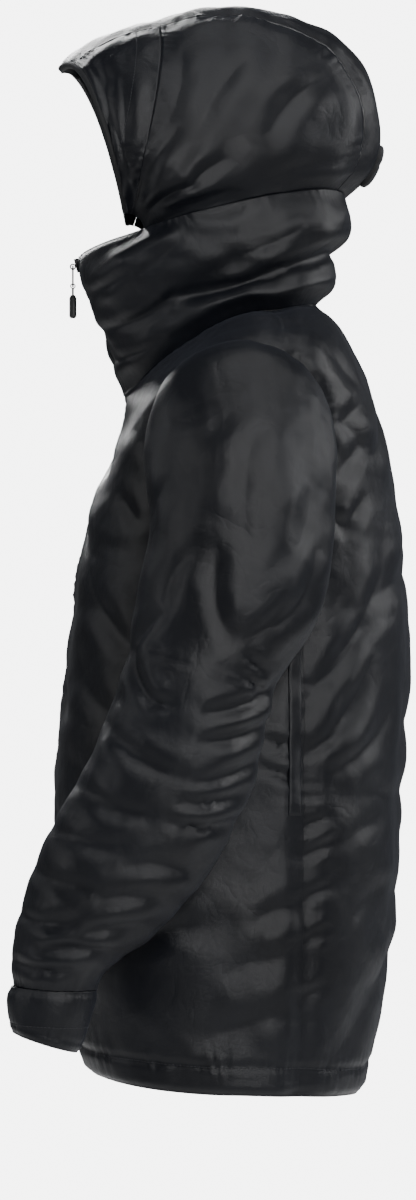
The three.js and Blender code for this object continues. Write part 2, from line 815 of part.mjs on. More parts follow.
// Adjuster tab on the back of the hood, moved out from the crown strip
function hoodTabSurface(u, v) {
  const angle = HOOD_TAB.fromAngle + (HOOD_TAB.toAngle - HOOD_TAB.fromAngle) * v;
  const row = rowFor(HOOD, 'angle', angle);
  const lean = Math.acos(HOOD_PIVOT.cornerHalf / row.half);
  const width = HOOD_TAB.half * (2 * u - 1);
  const rise = (Math.acos(-width / row.half) + lean) / (Math.PI / 2 + lean);
  return hoodPoint(angle, rise);
}

function makeHoodTab() {
  const sheet = panel({
    surface: hoodTabSurface,
    inside: insideHood,
    across: 4,
    alongLines: evenLines(3),
    wall: -HOOD_TAB.gap,
    sink: () => -HOOD_TAB.gap - HOOD_TAB.thickness,
  });
  return wallGeometry(sheet.outer, sheet.inner, false);
}

addMesh('hood_tab', makeHoodTab(), DARK_CLOTH);

// Welt of the pocket in the side seam, moved out from the last column of a front panel
function makeWelt(side) {
  const sheet = frontSheet(side).outer;
  const edge = sheet.length - 1;
  const pointOn = (part, j) => sheet[edge - 1][j].clone().lerp(sheet[edge][j], part);
  const outer = [];
  const inner = [];
  for (const part of [WELT.inner, WELT.outer]) {
    const outerLine = [];
    const innerLine = [];
    for (let j = WELT.fromLine; j <= WELT.toLine; j += 1) {
      const across = pointOn(1, j).sub(pointOn(0, j));
      const along = pointOn(part, j + 1).sub(pointOn(part, j - 1));
      const normal = across.cross(along).normalize();
      normal.multiplyScalar(Math.sign(normal.x) * side);
      outerLine.push(pointOn(part, j).addScaledVector(normal, WELT.gap + WELT.thickness));
      innerLine.push(pointOn(part, j).addScaledVector(normal, WELT.gap));
    }
    outer.push(outerLine);
    inner.push(innerLine);
  }
  return wallGeometry(outer, inner, false);
}

addMesh('pocket_welt_left', makeWelt(1), DARK_CLOTH);
addMesh('pocket_welt_right', makeWelt(-1), DARK_CLOTH);

// Line down the middle of the front, from the hem to the top of the collar, with the
// depth of the zip tape under it
function zipLine() {
  const line = [];
  for (let k = 0; k < ZIP_TAPE.bodyCells; k += 1) {
    line.push({ point: bodyPoint(0, BODY_TOP * k / ZIP_TAPE.bodyCells), depth: ZIP_TAPE.bodyDepth });
  }
  for (let k = 0; k <= ZIP_TAPE.collarCells; k += 1) {
    const place = COLLAR_TOP_PLACE * k / ZIP_TAPE.collarCells;
    line.push({ point: collarPoint(0, place), depth: ZIP_TAPE.collarDepth });
  }
  line.forEach((stop, k) => {
    const before = line[Math.max(k - 1, 0)].point;
    const after = line[Math.min(k + 1, line.length - 1)].point;
    const up = after.clone().sub(before).normalize();
    stop.outward = new THREE.Vector3(0, -up.z, up.y);
  });
  return line;
}

const zip = zipLine();

function makeZipTape() {
  const edge = ZIP_HALF - SEAM_GAP;
  const gridAt = (extra) => [-edge, edge].map((x) => zip.map((stop) => {
    const point = stop.point.clone().addScaledVector(stop.outward, -stop.depth - extra);
    return point.setX(x);
  }));
  return wallGeometry(gridAt(0), gridAt(ZIP_TAPE.thickness), false);
}

addMesh('zip_tape', makeZipTape(), DARK_CLOTH);

// The slider stands on the zip near the top of the collar. Its own frame has X across,
// Y out of the zip and Z up along it.
const zipTop = zip[zip.length - 1].point;
const zipBelow = zip[zip.length - 2].point;
const zipUp = zipTop.clone().sub(zipBelow).normalize();
const zipLean = Math.atan2(-zipUp.y, zipUp.z);
const sliderPlace = zipTop.clone().addScaledVector(zipUp, -SLIDER.fromTop);

function roundedOutline(half, length, radius) {
  const outline = new THREE.Shape();
  const end = length / 2;
  outline.absarc(half - radius, end - radius, radius, 0, Math.PI / 2);
  outline.absarc(radius - half, end - radius, radius, Math.PI / 2, Math.PI);
  outline.absarc(radius - half, radius - end, radius, Math.PI, 1.5 * Math.PI);
  outline.absarc(half - radius, radius - end, radius, 1.5 * Math.PI, 2 * Math.PI);
  outline.closePath();
  return outline;
}

// A ring about the X axis
function ringAboutX(radius, hole, width) {
  const ring = new THREE.Shape();
  ring.absarc(0, 0, radius, 0, 2 * Math.PI);
  const bore = new THREE.Path();
  bore.absarc(0, 0, hole, 0, 2 * Math.PI, true);
  ring.holes.push(bore);
  const options = { depth: width, bevelEnabled: false, curveSegments: BRIDGE.sides };
  const geometry = new THREE.ExtrudeGeometry(ring, options);
  geometry.translate(0, 0, -width / 2);
  geometry.rotateY(Math.PI / 2);
  return geometry;
}

function makeSlider() {
  const depth = SLIDER.over - SLIDER.under;
  const outline = roundedOutline(SLIDER.half, SLIDER.length, 2.5);
  const plate = new THREE.ExtrudeGeometry(outline, { depth, bevelEnabled: false, curveSegments: 3 });
  plate.rotateX(Math.PI / 2);
  plate.translate(0, -SLIDER.under, 0);
  const bridge = ringAboutX(BRIDGE.radius, BRIDGE.hole, BRIDGE.width);
  bridge.translate(0, -HINGE_OUT, 0);
  return toGeometry(toSolid(plate).add(toSolid(bridge)));
}

// The pull tab turns about the middle of the bridge
const HINGE_OUT = SLIDER.over + BRIDGE.radius - 0.4;
const hinge = new THREE.Vector3(0, -HINGE_OUT, 0);
hinge.applyAxisAngle(new THREE.Vector3(1, 0, 0), zipLean).add(sliderPlace);

const slider = addMesh('zip_slider', makeSlider(), ZIP_METAL);
slider.position.copy(sliderPlace);
slider.rotation.x = zipLean;

// Outline of the pull tab in its own X and Z, with an eye at each end
function makePullTab() {
  const bar = PULL_TAB.thickness;
  const outline = new THREE.Shape();
  outline.moveTo(PULL_TAB.half, bar / 2);
  outline.lineTo(-PULL_TAB.half, bar / 2);
  outline.lineTo(-PULL_TAB.half, bar / 2 - PULL_TAB.length);
  outline.lineTo(PULL_TAB.half, bar / 2 - PULL_TAB.length);
  outline.closePath();
  const tops = [-bar / 2, 1.5 * bar - PULL_TAB.length + PULL_TAB.eyeLong];
  for (const top of tops) {
    const eye = new THREE.Path();
    eye.moveTo(-PULL_TAB.eyeHalf, top);
    eye.lineTo(PULL_TAB.eyeHalf, top);
    eye.lineTo(PULL_TAB.eyeHalf, top - PULL_TAB.eyeLong);
    eye.lineTo(-PULL_TAB.eyeHalf, top - PULL_TAB.eyeLong);
    eye.closePath();
    outline.holes.push(eye);
  }
  const geometry = new THREE.ExtrudeGeometry(outline, { depth: bar, bevelEnabled: false });
  geometry.translate(0, 0, -bar / 2);
  geometry.rotateX(Math.PI / 2);
  return geometry;
}

const pullTab = addMesh('zip_pull_tab', makePullTab(), ZIP_METAL);
pullTab.position.copy(hinge);

// The moulded end hangs by its loop from the lower bar of the tab
const LOWER_BAR = PULL_TAB.length - PULL_TAB.thickness;

function makePullEnd() {
  const loop = ringAboutX(PULL_END.ringRadius, PULL_END.ringHole, PULL_END.ringWidth);
  const neckTop = -(PULL_END.ringRadius + PULL_END.ringHole) / 2;
  const neck = new THREE.BoxGeometry(PULL_END.ringWidth, PULL_END.ringWidth, PULL_END.neck);
  neck.translate(0, 0, neckTop - PULL_END.neck / 2);
  const start = neckTop - PULL_END.neck + 0.5;
  const shoulder = PULL_END.radius * 0.6;
  const outline = [
    new THREE.Vector2(0, start - PULL_END.length),
    new THREE.Vector2(shoulder, start - PULL_END.length),
    new THREE.Vector2(PULL_END.radius, start - PULL_END.length + 2),
    new THREE.Vector2(PULL_END.radius, start - 3),
    new THREE.Vector2(shoulder, start),
    new THREE.Vector2(0, start),
  ];
  const body = new THREE.LatheGeometry(outline, 12);
  body.rotateX(Math.PI / 2);
  return toGeometry(toSolid(loop).add(toSolid(neck)).add(toSolid(body)));
}

const pullEnd = addMesh('zip_pull_end', makePullEnd(), MOULDED);
pullEnd.position.copy(hinge);
pullEnd.position.z -= LOWER_BAR;

export default parka;
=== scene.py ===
"""Looks of a hooded, padded parka, zipped to the chin and hollow, as it is worn.

Every padded panel is worked out with numpy: a surface of two parameters, sunk along its
seams, creases and puckers, over a plain inner face. Sizes are millimetres until a mesh
is made, where they become metres. The wearer faces -Y and the wearer's left is +X.
"""
import math

import bpy
import numpy as np
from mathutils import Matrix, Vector
from mathutils.bvhtree import BVHTree
from mathutils.kdtree import KDTree


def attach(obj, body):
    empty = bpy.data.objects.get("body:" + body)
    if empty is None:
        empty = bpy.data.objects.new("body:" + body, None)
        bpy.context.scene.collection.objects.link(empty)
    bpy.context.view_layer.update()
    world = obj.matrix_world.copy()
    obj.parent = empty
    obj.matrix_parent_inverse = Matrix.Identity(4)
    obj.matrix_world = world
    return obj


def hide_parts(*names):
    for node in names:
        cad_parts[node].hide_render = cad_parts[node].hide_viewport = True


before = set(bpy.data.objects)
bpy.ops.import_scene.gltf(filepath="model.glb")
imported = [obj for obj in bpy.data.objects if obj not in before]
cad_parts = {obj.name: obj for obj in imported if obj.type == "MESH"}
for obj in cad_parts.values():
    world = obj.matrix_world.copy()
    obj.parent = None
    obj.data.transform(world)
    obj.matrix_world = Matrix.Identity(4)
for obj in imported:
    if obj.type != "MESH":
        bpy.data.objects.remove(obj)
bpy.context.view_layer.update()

MM = 0.001
DEGREE = math.pi / 180
BODY_NAME = "parka"

# Camera: level, at the wearer's left, 5 m away
CAMERA_DISTANCE = 5.0
CAMERA_Y = -0.0257
CAMERA_Z = -0.2423
CAMERA_LENS = 158.0
FLOOR_Z = -1.40

# Driving sizes, as in the solids
SEAM_GAP = 0.3
BODY_WALL = 12.0
SLEEVE_WALL = 9.0
COLLAR_WALL = 8.0
HOOD_WALL = 7.0
CUFF_WALL = 4.0
SEAM_SINK = 5.0
SEAM_SOFTNESS = 13.0
ZIP_HALF = 4.5
FRONT_SQUARENESS = 3.0
BACK_SQUARENESS = 2.5
LOOP_RISE_POWER = 1.6
FAR_SIDE_SHIFT = {"y": 7.0, "z": -16.0, "blend": 90.0}
HEM_STITCH_HEIGHT = 27.0

# Size of a grid cell on the padded panels
CELL = 3.6


def table(names, rows):
    """A dict of arrays, one for each named column."""
    columns = np.array(rows, dtype=float).T
    return dict(zip(names, columns))


LOOP = ("half", "front_y", "front_z", "side_y", "side_z", "back_y", "back_z")

# Level loops of the body from the hem to the neck, and where its seam crosses each
BODY = table(LOOP + ("seam_y",), [
    (206, -142, -681, -8, -694, 123, -703, 60),
    (207, -152, -650, -8, -659, 131, -662, 61),
    (209, -163, -590, -8, -596, 143, -600, 62),
    (210, -169, -520, -7, -522, 152, -525, 63),
    (208, -170, -452, -5, -452, 156, -452, 63),
    (205, -168, -390, -3, -388, 160, -388, 63),
    (200, -161, -322, 0, -318, 164, -320, 63),
    (195, -154, -256, 2, -254, 163, -256, 63),
    (193, -146, -200, 4, -198, 159, -202, 62),
    (194, -132, -150, 8, -142, 153, -150, 56),
    (198, -119, -114, 14, -88, 145, -106, 44),
    (200, -109, -90, 22, -52, 135, -68, 40),
    (195, -105, -75, 32, -20, 124, -36, 42),
    (176, -104, -65, 36, 3, 112, -8, 44),
    (140, -105, -56, 36, 19, 97, 17, 44),
    (92, -108, -48, 30, 30, 79, 39, 36),
])

# Loops of the collar above the neck seam. The third is the crease between its rolls.
COLLAR = table(LOOP, [
    (92, -108, -47.6, 30, 30.5, 79, 39.6),
    (100, -113, -30, 20, 42, 96, 60),
    (93, -119, -6, 8, 56, 91, 85),
    (103, -132, 26, -2, 80, 109, 104),
    (104, -145, 60, -10, 101, 111, 121),
])

SECTION = ("inner_x", "inner_z", "outer_x", "outer_z", "front_y", "back_y", "drop")

# Sections of the left sleeve from inside the shoulder to the cuff
SLEEVE = table(SECTION, [
    (164, -142, 164, -30, -60, 76, 0),
    (188, -168, 202, -8, -76, 86, 0),
    (198, -184, 234, -12, -82, 89, 0),
    (202, -193, 262, -36, -83, 90, 0),
    (204, -201, 286, -77, -81, 89, 0),
    (205, -210, 303, -124, -79, 87, 0),
    (206, -224, 311, -169, -81, 85, 0),
    (207, -247, 315, -214, -88, 81, 0),
    (208, -274, 317, -257, -92, 66, -12),
    (210, -307, 318, -298, -96, 35, -36),
    (212, -347, 319, -341, -108, 25, -42),
    (213, -392, 319, -388, -127, 13, -44),
    (213, -440, 317, -438, -151, -9, -42),
    (209, -490, 314, -488, -178, -38, -36),
    (208, -530, 308, -529, -193, -71, -26),
    (211, -556, 301, -556, -200, -101, -16),
    (215, -575, 294, -575, -204, -117, -8),
    (217, -592, 290, -592, -205, -123, -5),
])

# Sections of the left cuff band
CUFF = table(SECTION, [
    (217, -592.4, 290, -592.4, -205, -124, -5),
    (218, -610, 289, -610, -207, -130, -10),
    (221, -641, 286, -641, -204, -142, -19),
])

# The hood is a fan of arches about a pivot by the chin
HOOD_PIVOT_Y = -102.0
HOOD_PIVOT_Z = 102.0
HOOD_CORNER_HALF = 75.0
HOOD_CORNER_REACH = 14.0
HOOD_WIDEST_REACH = 77.0
HOOD = table(("angle", "reach", "half"), [
    (6, 196, 98),
    (15, 240, 103),
    (23, 261, 110),
    (32, 274, 116),
    (41, 276, 120),
    (50, 266, 122),
    (60, 250, 123),
    (70, 231, 122),
    (80, 214, 120),
    (90, 200, 117),
    (100, 189, 114),
    (113, 174, 110),
])
CROWN_HALF = 47.0
CROWN_EDGE_RISE = 0.75
COLLAR_CORNER_ANGLE = 50 * DEGREE
COLLAR_TOP_FRONT = (0.0, -152.0, 84.0)
COLLAR_TOP_BEND = (46.0, -151.0, 87.0)

# Creases in the plane seen from the wearer's side. bow is how far the middle of the
# crease stands off the straight line between its ends.
CREASE = ("from_y", "from_z", "to_y", "to_z", "bow", "width", "depth")
BODY_CREASES = table(CREASE, [
    (137, -188, 73, -323, -16, 9, 7),
    (126, -288, 64, -384, -14, 8, 6),
    (149, -333, 99, -397, -8, 8, 6),
    (138, -574, 86, -667, -8, 9, 4),
    (150, -255, 104, -286, 5, 7, 3),
    (155, -440, 96, -470, 6, 8, 3),
    (150, -500, 100, -545, 6, 9, 3),
    (96, -20, 124, -55, 0, 7, 5),
    (124, -55, 100, -78, 0, 7, 5),
    (100, -78, 121, -104, 0, 7, 5),
    (130, -96, 96, -126, 4, 7, 4),
    (86, -163, 101, -179, 0, 6, 5),
    (101, -179, 120, -147, 0, 6, 5),
    (23, -369, 58, -375, 2, 5, 4),
    (25, -396, 57, -408, -2, 5, 4),
    (30, -384, 52, -388, 1, 4, 3),
    (64, -449, 84, -441, 0, 5, 4),
    (64, -476, 92, -462, 0, 5, 4),
    (64, -514, 88, -504, 0, 5, 4),
    (64, -553, 86, -544, 0, 5, 3),
    (64, -603, 82, -595, 0, 5, 3),
    (62, -520, 16, -538, 4, 9, 3),
    (60, -566, -20, -592, 6, 11, 3),
    (58, -618, -30, -646, 5, 10, 3),
    (-30, -540, -96, -560, 6, 10, 4),
    (-134, -217, -95, -290, 8, 8, 6),
    (-148, -290, -121, -345, 6, 8, 5),
    (-107, -147, -92, -171, 0, 6, 5),
    (-140, -178, -104, -196, 4, 7, 3),
    (-152, -240, -118, -254, 4, 8, 3),
    (-160, -380, -118, -420, 6, 9, 4),
    (-66, -50, -74, -84, 0, 5, 3),
    (-92, -88, -70, -112, 3, 7, 3),
])

# Creases seen from behind or in front: x takes the place of y
FACING_CREASE = ("from_x", "from_z", "to_x", "to_z", "bow", "width", "depth")
BACK_CREASES = table(FACING_CREASE, [
    (-150, -120, 20, -196, -22, 12, 4),
    (160, -250, -40, -224, 18, 13, 4),
    (-170, -330, 60, -352, 16, 13, 4),
    (150, -420, -60, -404, -12, 12, 3),
    (-130, -480, 90, -516, 14, 14, 3),
    (40, -60, 130, -110, 8, 10, 4),
    (-140, -60, -50, -44, 6, 10, 3),
    (120, -600, -20, -574, 10, 14, 3),
])
FRONT_CREASES = table(FACING_CREASE, [
    (24, -150, 150, -206, 12, 11, 4),
    (-24, -196, -150, -176, -10, 11, 4),
    (16, -300, 140, -352, 14, 12, 4),
    (-14, -262, -150, -318, -12, 12, 4),
    (20, -430, 150, -470, 10, 12, 3),
    (-20, -404, -150, -430, -10, 12, 3),
    (16, -560, 120, -590, 8, 12, 3),
    (-16, -536, -130, -572, -8, 12, 3),
    (16, -100, 90, -124, 6, 9, 3),
    (-16, -112, -96, -136, -6, 9, 3),
])

SLEEVE_CREASES = table(CREASE, [
    (-93, -289, -78, -332, 4, 6, 6),
    (-78, -332, -60, -336, 0, 6, 5),
    (-72, -257, -93, -289, 3, 6, 5),
    (-16, -201, -6, -278, 8, 8, 4),
    (11, -292, 24, -307, 0, 4, 4),
    (9, -310, 24, -326, 0, 4, 4),
    (34, -318, -24, -342, -6, 6, 6),
    (27, -352, -30, -368, -5, 6, 5),
    (22, -384, -36, -404, -5, 6, 5),
    (6, -412, -48, -424, -4, 6, 5),
    (-4, -442, -58, -440, -4, 6, 5),
    (-118, -352, -52, -398, 8, 8, 5),
    (-104, -326, -136, -402, 6, 7, 4),
    (-142, -408, -80, -434, 6, 7, 5),
    (-166, -446, -104, -462, 5, 7, 4),
    (-34, -488, -92, -478, 5, 7, 4),
    (-182, -482, -128, -500, 5, 7, 4),
    (-52, -514, -118, -508, 5, 7, 4),
    (-196, -524, -144, -528, 5, 6, 4),
    (-72, -538, -140, -542, 4, 6, 5),
    (-104, -560, -176, -556, 4, 5, 5),
    (-200, -566, -150, -574, 3, 5, 4),
    (-60, -130, -78, -206, 8, 9, 3),
    (62, -112, 52, -206, -10, 10, 4),
    (72, -200, 40, -262, -8, 8, 4),
    (18, -90, 8, -176, 6, 12, 2),
    (-48, -206, -64, -250, 4, 7, 3),
    (40, -246, 10, -276, -4, 7, 3),
])

HOOD_CREASES = table(CREASE, [
    (-97, 112, -57, 190, -6, 6, 6),
    (-92, 110, -40, 141, -4, 5, 5),
    (-40, 141, -13, 164, -3, 6, 4),
    (-84, 106, 14, 132, -4, 6, 4),
    (-121, 162, -125, 262, 4, 6, 4),
    (-108, 150, -106, 240, 4, 7, 3),
    (-70, 120, -10, 136, 3, 5, 3),
    (20, 140, 100, 168, -6, 9, 3),
    (-30, 200, 10, 262, -6, 9, 3),
    (34, 196, 84, 246, -6, 9, 3),
    (60, 138, 108, 150, 3, 6, 3),
    (-66, 196, -50, 262, 5, 8, 2),
])

COLLAR_CREASES = table(CREASE, [
    (-124, 12, -60, 40, 6, 5, 4),
    (-60, 40, 40, 66, 5, 5, 4),
    (40, 66, 98, 92, 3, 5, 4),
    (-116, -16, -70, 2, 4, 5, 3),
    (-138, 46, -100, 66, 3, 5, 3),
    (-96, 60, -50, 96, 4, 6, 2),
    (0, 76, 60, 104, 3, 6, 2),
])


def blend(before, start, end, after, part):
    """Cubic through the middle two of four values, level with the chords beside them."""
    a = 2 * start
    b = end - before
    c = 2 * before - 5 * start + 4 * end - after
    d = 3 * start - before - 3 * end + after
    return (a + b * part + c * part ** 2 + d * part ** 3) / 2


def rows_at(rows, place):
    """Each column at a place between the rows, by the cubic of blend."""
    place = np.asarray(place, dtype=float)
    last = len(next(iter(rows.values()))) - 1
    k = np.clip(np.floor(place).astype(int), 0, last - 1)
    part = place - k
    found = {}
    for name, column in rows.items():
        before = column[np.maximum(k - 1, 0)]
        after = column[np.minimum(k + 2, last)]
        found[name] = blend(before, column[k], column[k + 1], after, part)
    return found


def rows_for(rows, column, value):
    """Each column where the named one has a value; the named column rises row by row."""
    steps = rows[column]
    value = np.asarray(value, dtype=float)
    k = np.clip(np.searchsorted(steps, value) - 1, 0, len(steps) - 2)
    return rows_at(rows, k + (value - steps[k]) / (steps[k + 1] - steps[k]))


def stack(x, y, z):
    """Points from three arrays of one shape."""
    return np.stack(np.broadcast_arrays(x, y, z), axis=-1)


def loop_points(row, angle):
    """A squared oval: sine and cosine of the angle, swollen so that the sum of their
    powers is one, scaled to the widest point aside and to the ends ahead and behind."""
    ahead = np.cos(angle)
    aside = np.sin(angle)
    front = ahead > 0
    power = np.where(front, FRONT_SQUARENESS, BACK_SQUARENESS)
    swell = (np.abs(ahead) ** power + np.abs(aside) ** power) ** (-1 / power)
    share = np.abs(ahead) * swell
    end_y = np.where(front, row["front_y"], row["back_y"])
    end_z = np.where(front, row["front_z"], row["back_z"])
    y = row["side_y"] + (end_y - row["side_y"]) * share
    z = row["side_z"] + (end_z - row["side_z"]) * share ** LOOP_RISE_POWER
    return stack(row["half"] * aside * swell, y, z)


def seam_angle(row):
    """Angle at which a loop crosses its seam line, from the oval's own equation."""
    share = (row["seam_y"] - row["side_y"]) / (row["back_y"] - row["side_y"])
    aside = (1 - share ** BACK_SQUARENESS) ** (1 / BACK_SQUARENESS)
    return math.pi / 2 + np.arctan2(share, aside)


def section_points(row, turn):
    """An ellipse through a section's inner and outer points, its front and its back."""
    along = np.cos(turn)
    outward = np.sin(turn)
    x = (row["inner_x"] + row["outer_x"]) / 2 + (row["outer_x"] - row["inner_x"]) / 2 * outward
    y = (row["front_y"] + row["back_y"]) / 2 + (row["back_y"] - row["front_y"]) / 2 * along
    z = (row["inner_z"] + row["outer_z"]) / 2 + (row["outer_z"] - row["inner_z"]) / 2 * outward
    return stack(x, y, z + row["drop"] / 2 * along)


def arch_lean(half):
    """How far below level an arch starts, so that its foot is at the hood's corner."""
    return np.arccos(HOOD_CORNER_HALF / half)


def hood_points(angle, rise):
    """A fan of arches: the reach from the pivot follows a sine and the half width a
    cosine of the rise, from the front corner (0) over the middle (1) to the far one (2)."""
    row = rows_for(HOOD, "angle", angle)
    lean = arch_lean(row["half"])
    tau = -lean + (math.pi / 2 + lean) * rise
    behind = (HOOD_WIDEST_REACH - HOOD_CORNER_REACH) / np.sin(lean)
    span = np.where(np.sin(tau) > 0, row["reach"] - HOOD_WIDEST_REACH, behind)
    reach = HOOD_WIDEST_REACH + span * np.sin(tau)
    y = HOOD_PIVOT_Y + reach * np.cos(angle * DEGREE)
    z = HOOD_PIVOT_Z + reach * np.sin(angle * DEGREE)
    return stack(row["half"] * np.cos(tau), y, z)


def mirror_rise(rise):
    """A rise past the middle counts back down."""
    return np.where(rise > 1, 2 - rise, rise)


def fan_angle(rise, place):
    """Angle of the fan from the hood's foot (0) by the brim seam (1) to the face (2)."""
    near = mirror_rise(rise) ** 2
    foot = 15.5 - 6.5 * near
    brim = 75 + 9 * near
    face = 101 + 11.5 * near
    return np.where(place <= 1, foot + (brim - foot) * place, brim + (face - brim) * (place - 1))


def edge_rise(place):
    """Rise at which an arch is as wide as the crown strip."""
    row = rows_for(HOOD, "angle", fan_angle(np.full_like(place, CROWN_EDGE_RISE), place))
    lean = arch_lean(row["half"])
    return (np.arccos(CROWN_HALF / row["half"]) + lean) / (math.pi / 2 + lean)


def collar_top(angle):
    """Top edge of the collar: a quadratic curve under the chin, then the hood's foot."""
    share = np.clip(angle / COLLAR_CORNER_ANGLE, 0, 1)[..., None]
    rise = np.clip((angle - COLLAR_CORNER_ANGLE) / (math.pi - COLLAR_CORNER_ANGLE), 0, 1)
    foot = hood_points(fan_angle(rise, np.zeros_like(rise)), rise)
    corner = hood_points(fan_angle(np.zeros(1), np.zeros(1)), np.zeros(1))[0]
    start = np.array(COLLAR_TOP_FRONT)
    bend = np.array(COLLAR_TOP_BEND)
    chin = (1 - share) ** 2 * start + 2 * share * (1 - share) * bend + share ** 2 * corner
    points = np.where((angle > COLLAR_CORNER_ANGLE)[..., None], foot, chin)
    points[..., 2] -= SEAM_GAP
    return points


def collar_points(angle, place):
    """The cubic of blend through the collar's loops and its top edge."""
    count = len(COLLAR["half"])
    loops = [loop_points({n: c[k] for n, c in COLLAR.items()}, angle) for k in range(count)]
    lines = np.stack(loops + [collar_top(angle)])
    k = np.clip(np.floor(place).astype(int), 0, count - 1)

    def line(number):
        index = np.broadcast_to(np.clip(number, 0, count)[None, ..., None], (1,) + angle.shape + (3,))
        return np.take_along_axis(lines, index, axis=0)[0]

    return blend(line(k - 1), line(k), line(k + 1), line(k + 2), (place - k)[..., None])


def lie(points):
    """Points with the far side's folds moved to their places."""
    far = np.clip(-points[..., 0] / FAR_SIDE_SHIFT["blend"], 0, 1)
    moved = points.copy()
    moved[..., 1] -= FAR_SIDE_SHIFT["y"] * far
    moved[..., 2] -= FAR_SIDE_SHIFT["z"] * far
    return moved


def crease_depth(creases, aside, height):
    """Sum of soft troughs. Each is a bell across its bowed line, deepest at the middle
    of its length, with a low ridge standing along both of its sides."""
    names = list(creases)
    depth = np.zeros_like(aside)
    for values in zip(*creases.values()):
        crease = dict(zip(names, values))
        start = np.array([values[0], values[1]])
        run = np.array([values[2], values[3]]) - start
        length = np.hypot(*run)
        along = ((aside - start[0]) * run[0] + (height - start[1]) * run[1]) / length
        across = ((aside - start[0]) * run[1] - (height - start[1]) * run[0]) / length
        part = np.clip(along / length, 0, 1)
        off = (across - crease["bow"] * 4 * part * (1 - part)) / crease["width"]
        past = np.maximum(np.maximum(-along, along - length), 0) / crease["width"]
        fade = np.exp(-past ** 2) * (0.45 + 0.55 * np.sin(math.pi * part))
        trough = np.exp(-np.abs(off) ** 1.25) - 0.4 * np.exp(-((np.abs(off) - 2.0) / 1.2) ** 2)
        depth += crease["depth"] * fade * trough
    return depth


def lumps(points, size, seed):
    """Uneven filling: a sum of sine waves in seeded directions, from -1 to 1 or so."""
    chance = np.random.default_rng(seed)
    total = np.zeros(points.shape[:-1])
    count = 9
    for _ in range(count):
        way = chance.normal(size=3)
        way /= np.linalg.norm(way)
        wave = size * chance.uniform(0.6, 1.7)
        total += np.sin(points @ way * (2 * math.pi / wave) + chance.uniform(0, 2 * math.pi))
    return total / math.sqrt(count)


def pucker(distance, along, pitch, depth, reach, seed):
    """Short gathers that stand off a seam: a wave along it with an uneven pitch and
    height, dying away with the distance from it."""
    chance = np.random.default_rng(seed)
    shift = np.zeros_like(along)
    for wave in (4.1, 7.3, 13.7):
        shift += np.sin(along / (pitch * wave) * 2 * math.pi + chance.uniform(0, 6.28)) * wave * 0.16
    height = 0.6 + 0.4 * np.sin(along / (pitch * 5.3) * 2 * math.pi + chance.uniform(0, 6.28))
    ripple = 0.5 + 0.5 * np.sin(2 * math.pi * (along / pitch + shift))
    return depth * ripple * height * np.exp(-(distance / reach) ** 1.4)


def seam_sink(distance, depth=SEAM_SINK):
    """How far a sewn edge draws the surface in: a bell of the distance from it."""
    return depth * np.exp(-(distance / SEAM_SOFTNESS) ** 2)


def grid(across, along):
    """Two parameters from 0 to 1 on an even grid."""
    return np.meshgrid(np.linspace(0, 1, across + 1), np.linspace(0, 1, along + 1), indexing="ij")


def arc_lengths(points, axis):
    """Distance along the lines of a grid from their start."""
    steps = np.linalg.norm(np.diff(points, axis=axis), axis=-1)
    start = np.zeros_like(np.take(steps, [0], axis=axis))
    return np.concatenate([start, np.cumsum(steps, axis=axis)], axis=axis)


def outward(points, middle, closed=False):
    """Unit normals from the differences of neighbouring points, turned from a middle."""
    if closed:
        over = np.roll(points, -1, axis=0) - np.roll(points, 1, axis=0)
    else:
        over = np.gradient(points, axis=0)
    up = np.gradient(points, axis=1)
    normal = np.cross(over, up)
    length = np.linalg.norm(normal, axis=-1, keepdims=True)
    normal /= np.maximum(length, 1e-9)
    wrong = np.sum(normal * (points - middle), axis=-1, keepdims=True) < 0
    return np.where(wrong, -normal, normal)


def new_mesh(name, vertices, quads, uv=None):
    """A mesh object from an array of points in millimetres and an array of quads."""
    mesh = bpy.data.meshes.new(name)
    mesh.vertices.add(len(vertices))
    mesh.vertices.foreach_set("co", (np.asarray(vertices, dtype=np.float32) * MM).ravel())
    mesh.loops.add(quads.size)
    mesh.loops.foreach_set("vertex_index", quads.ravel().astype(np.int32))
    mesh.polygons.add(len(quads))
    mesh.polygons.foreach_set("loop_start", np.arange(0, quads.size, 4, dtype=np.int32))
    mesh.polygons.foreach_set("use_smooth", np.ones(len(quads), dtype=bool))
    if uv is not None:
        layer = mesh.uv_layers.new(name="cloth")
        layer.data.foreach_set("uv", (uv[quads.ravel()] * MM).astype(np.float32).ravel())
    mesh.update(calc_edges=True)
    mesh.validate()
    piece = bpy.data.objects.new(name, mesh)
    bpy.context.scene.collection.objects.link(piece)
    return piece


def signed_volume(vertices, quads):
    """Six times the volume that the faces enclose."""
    a, b, c, d = (vertices[quads[:, k]] for k in range(4))
    return np.sum(a * np.cross(b, c)) + np.sum(a * np.cross(c, d))


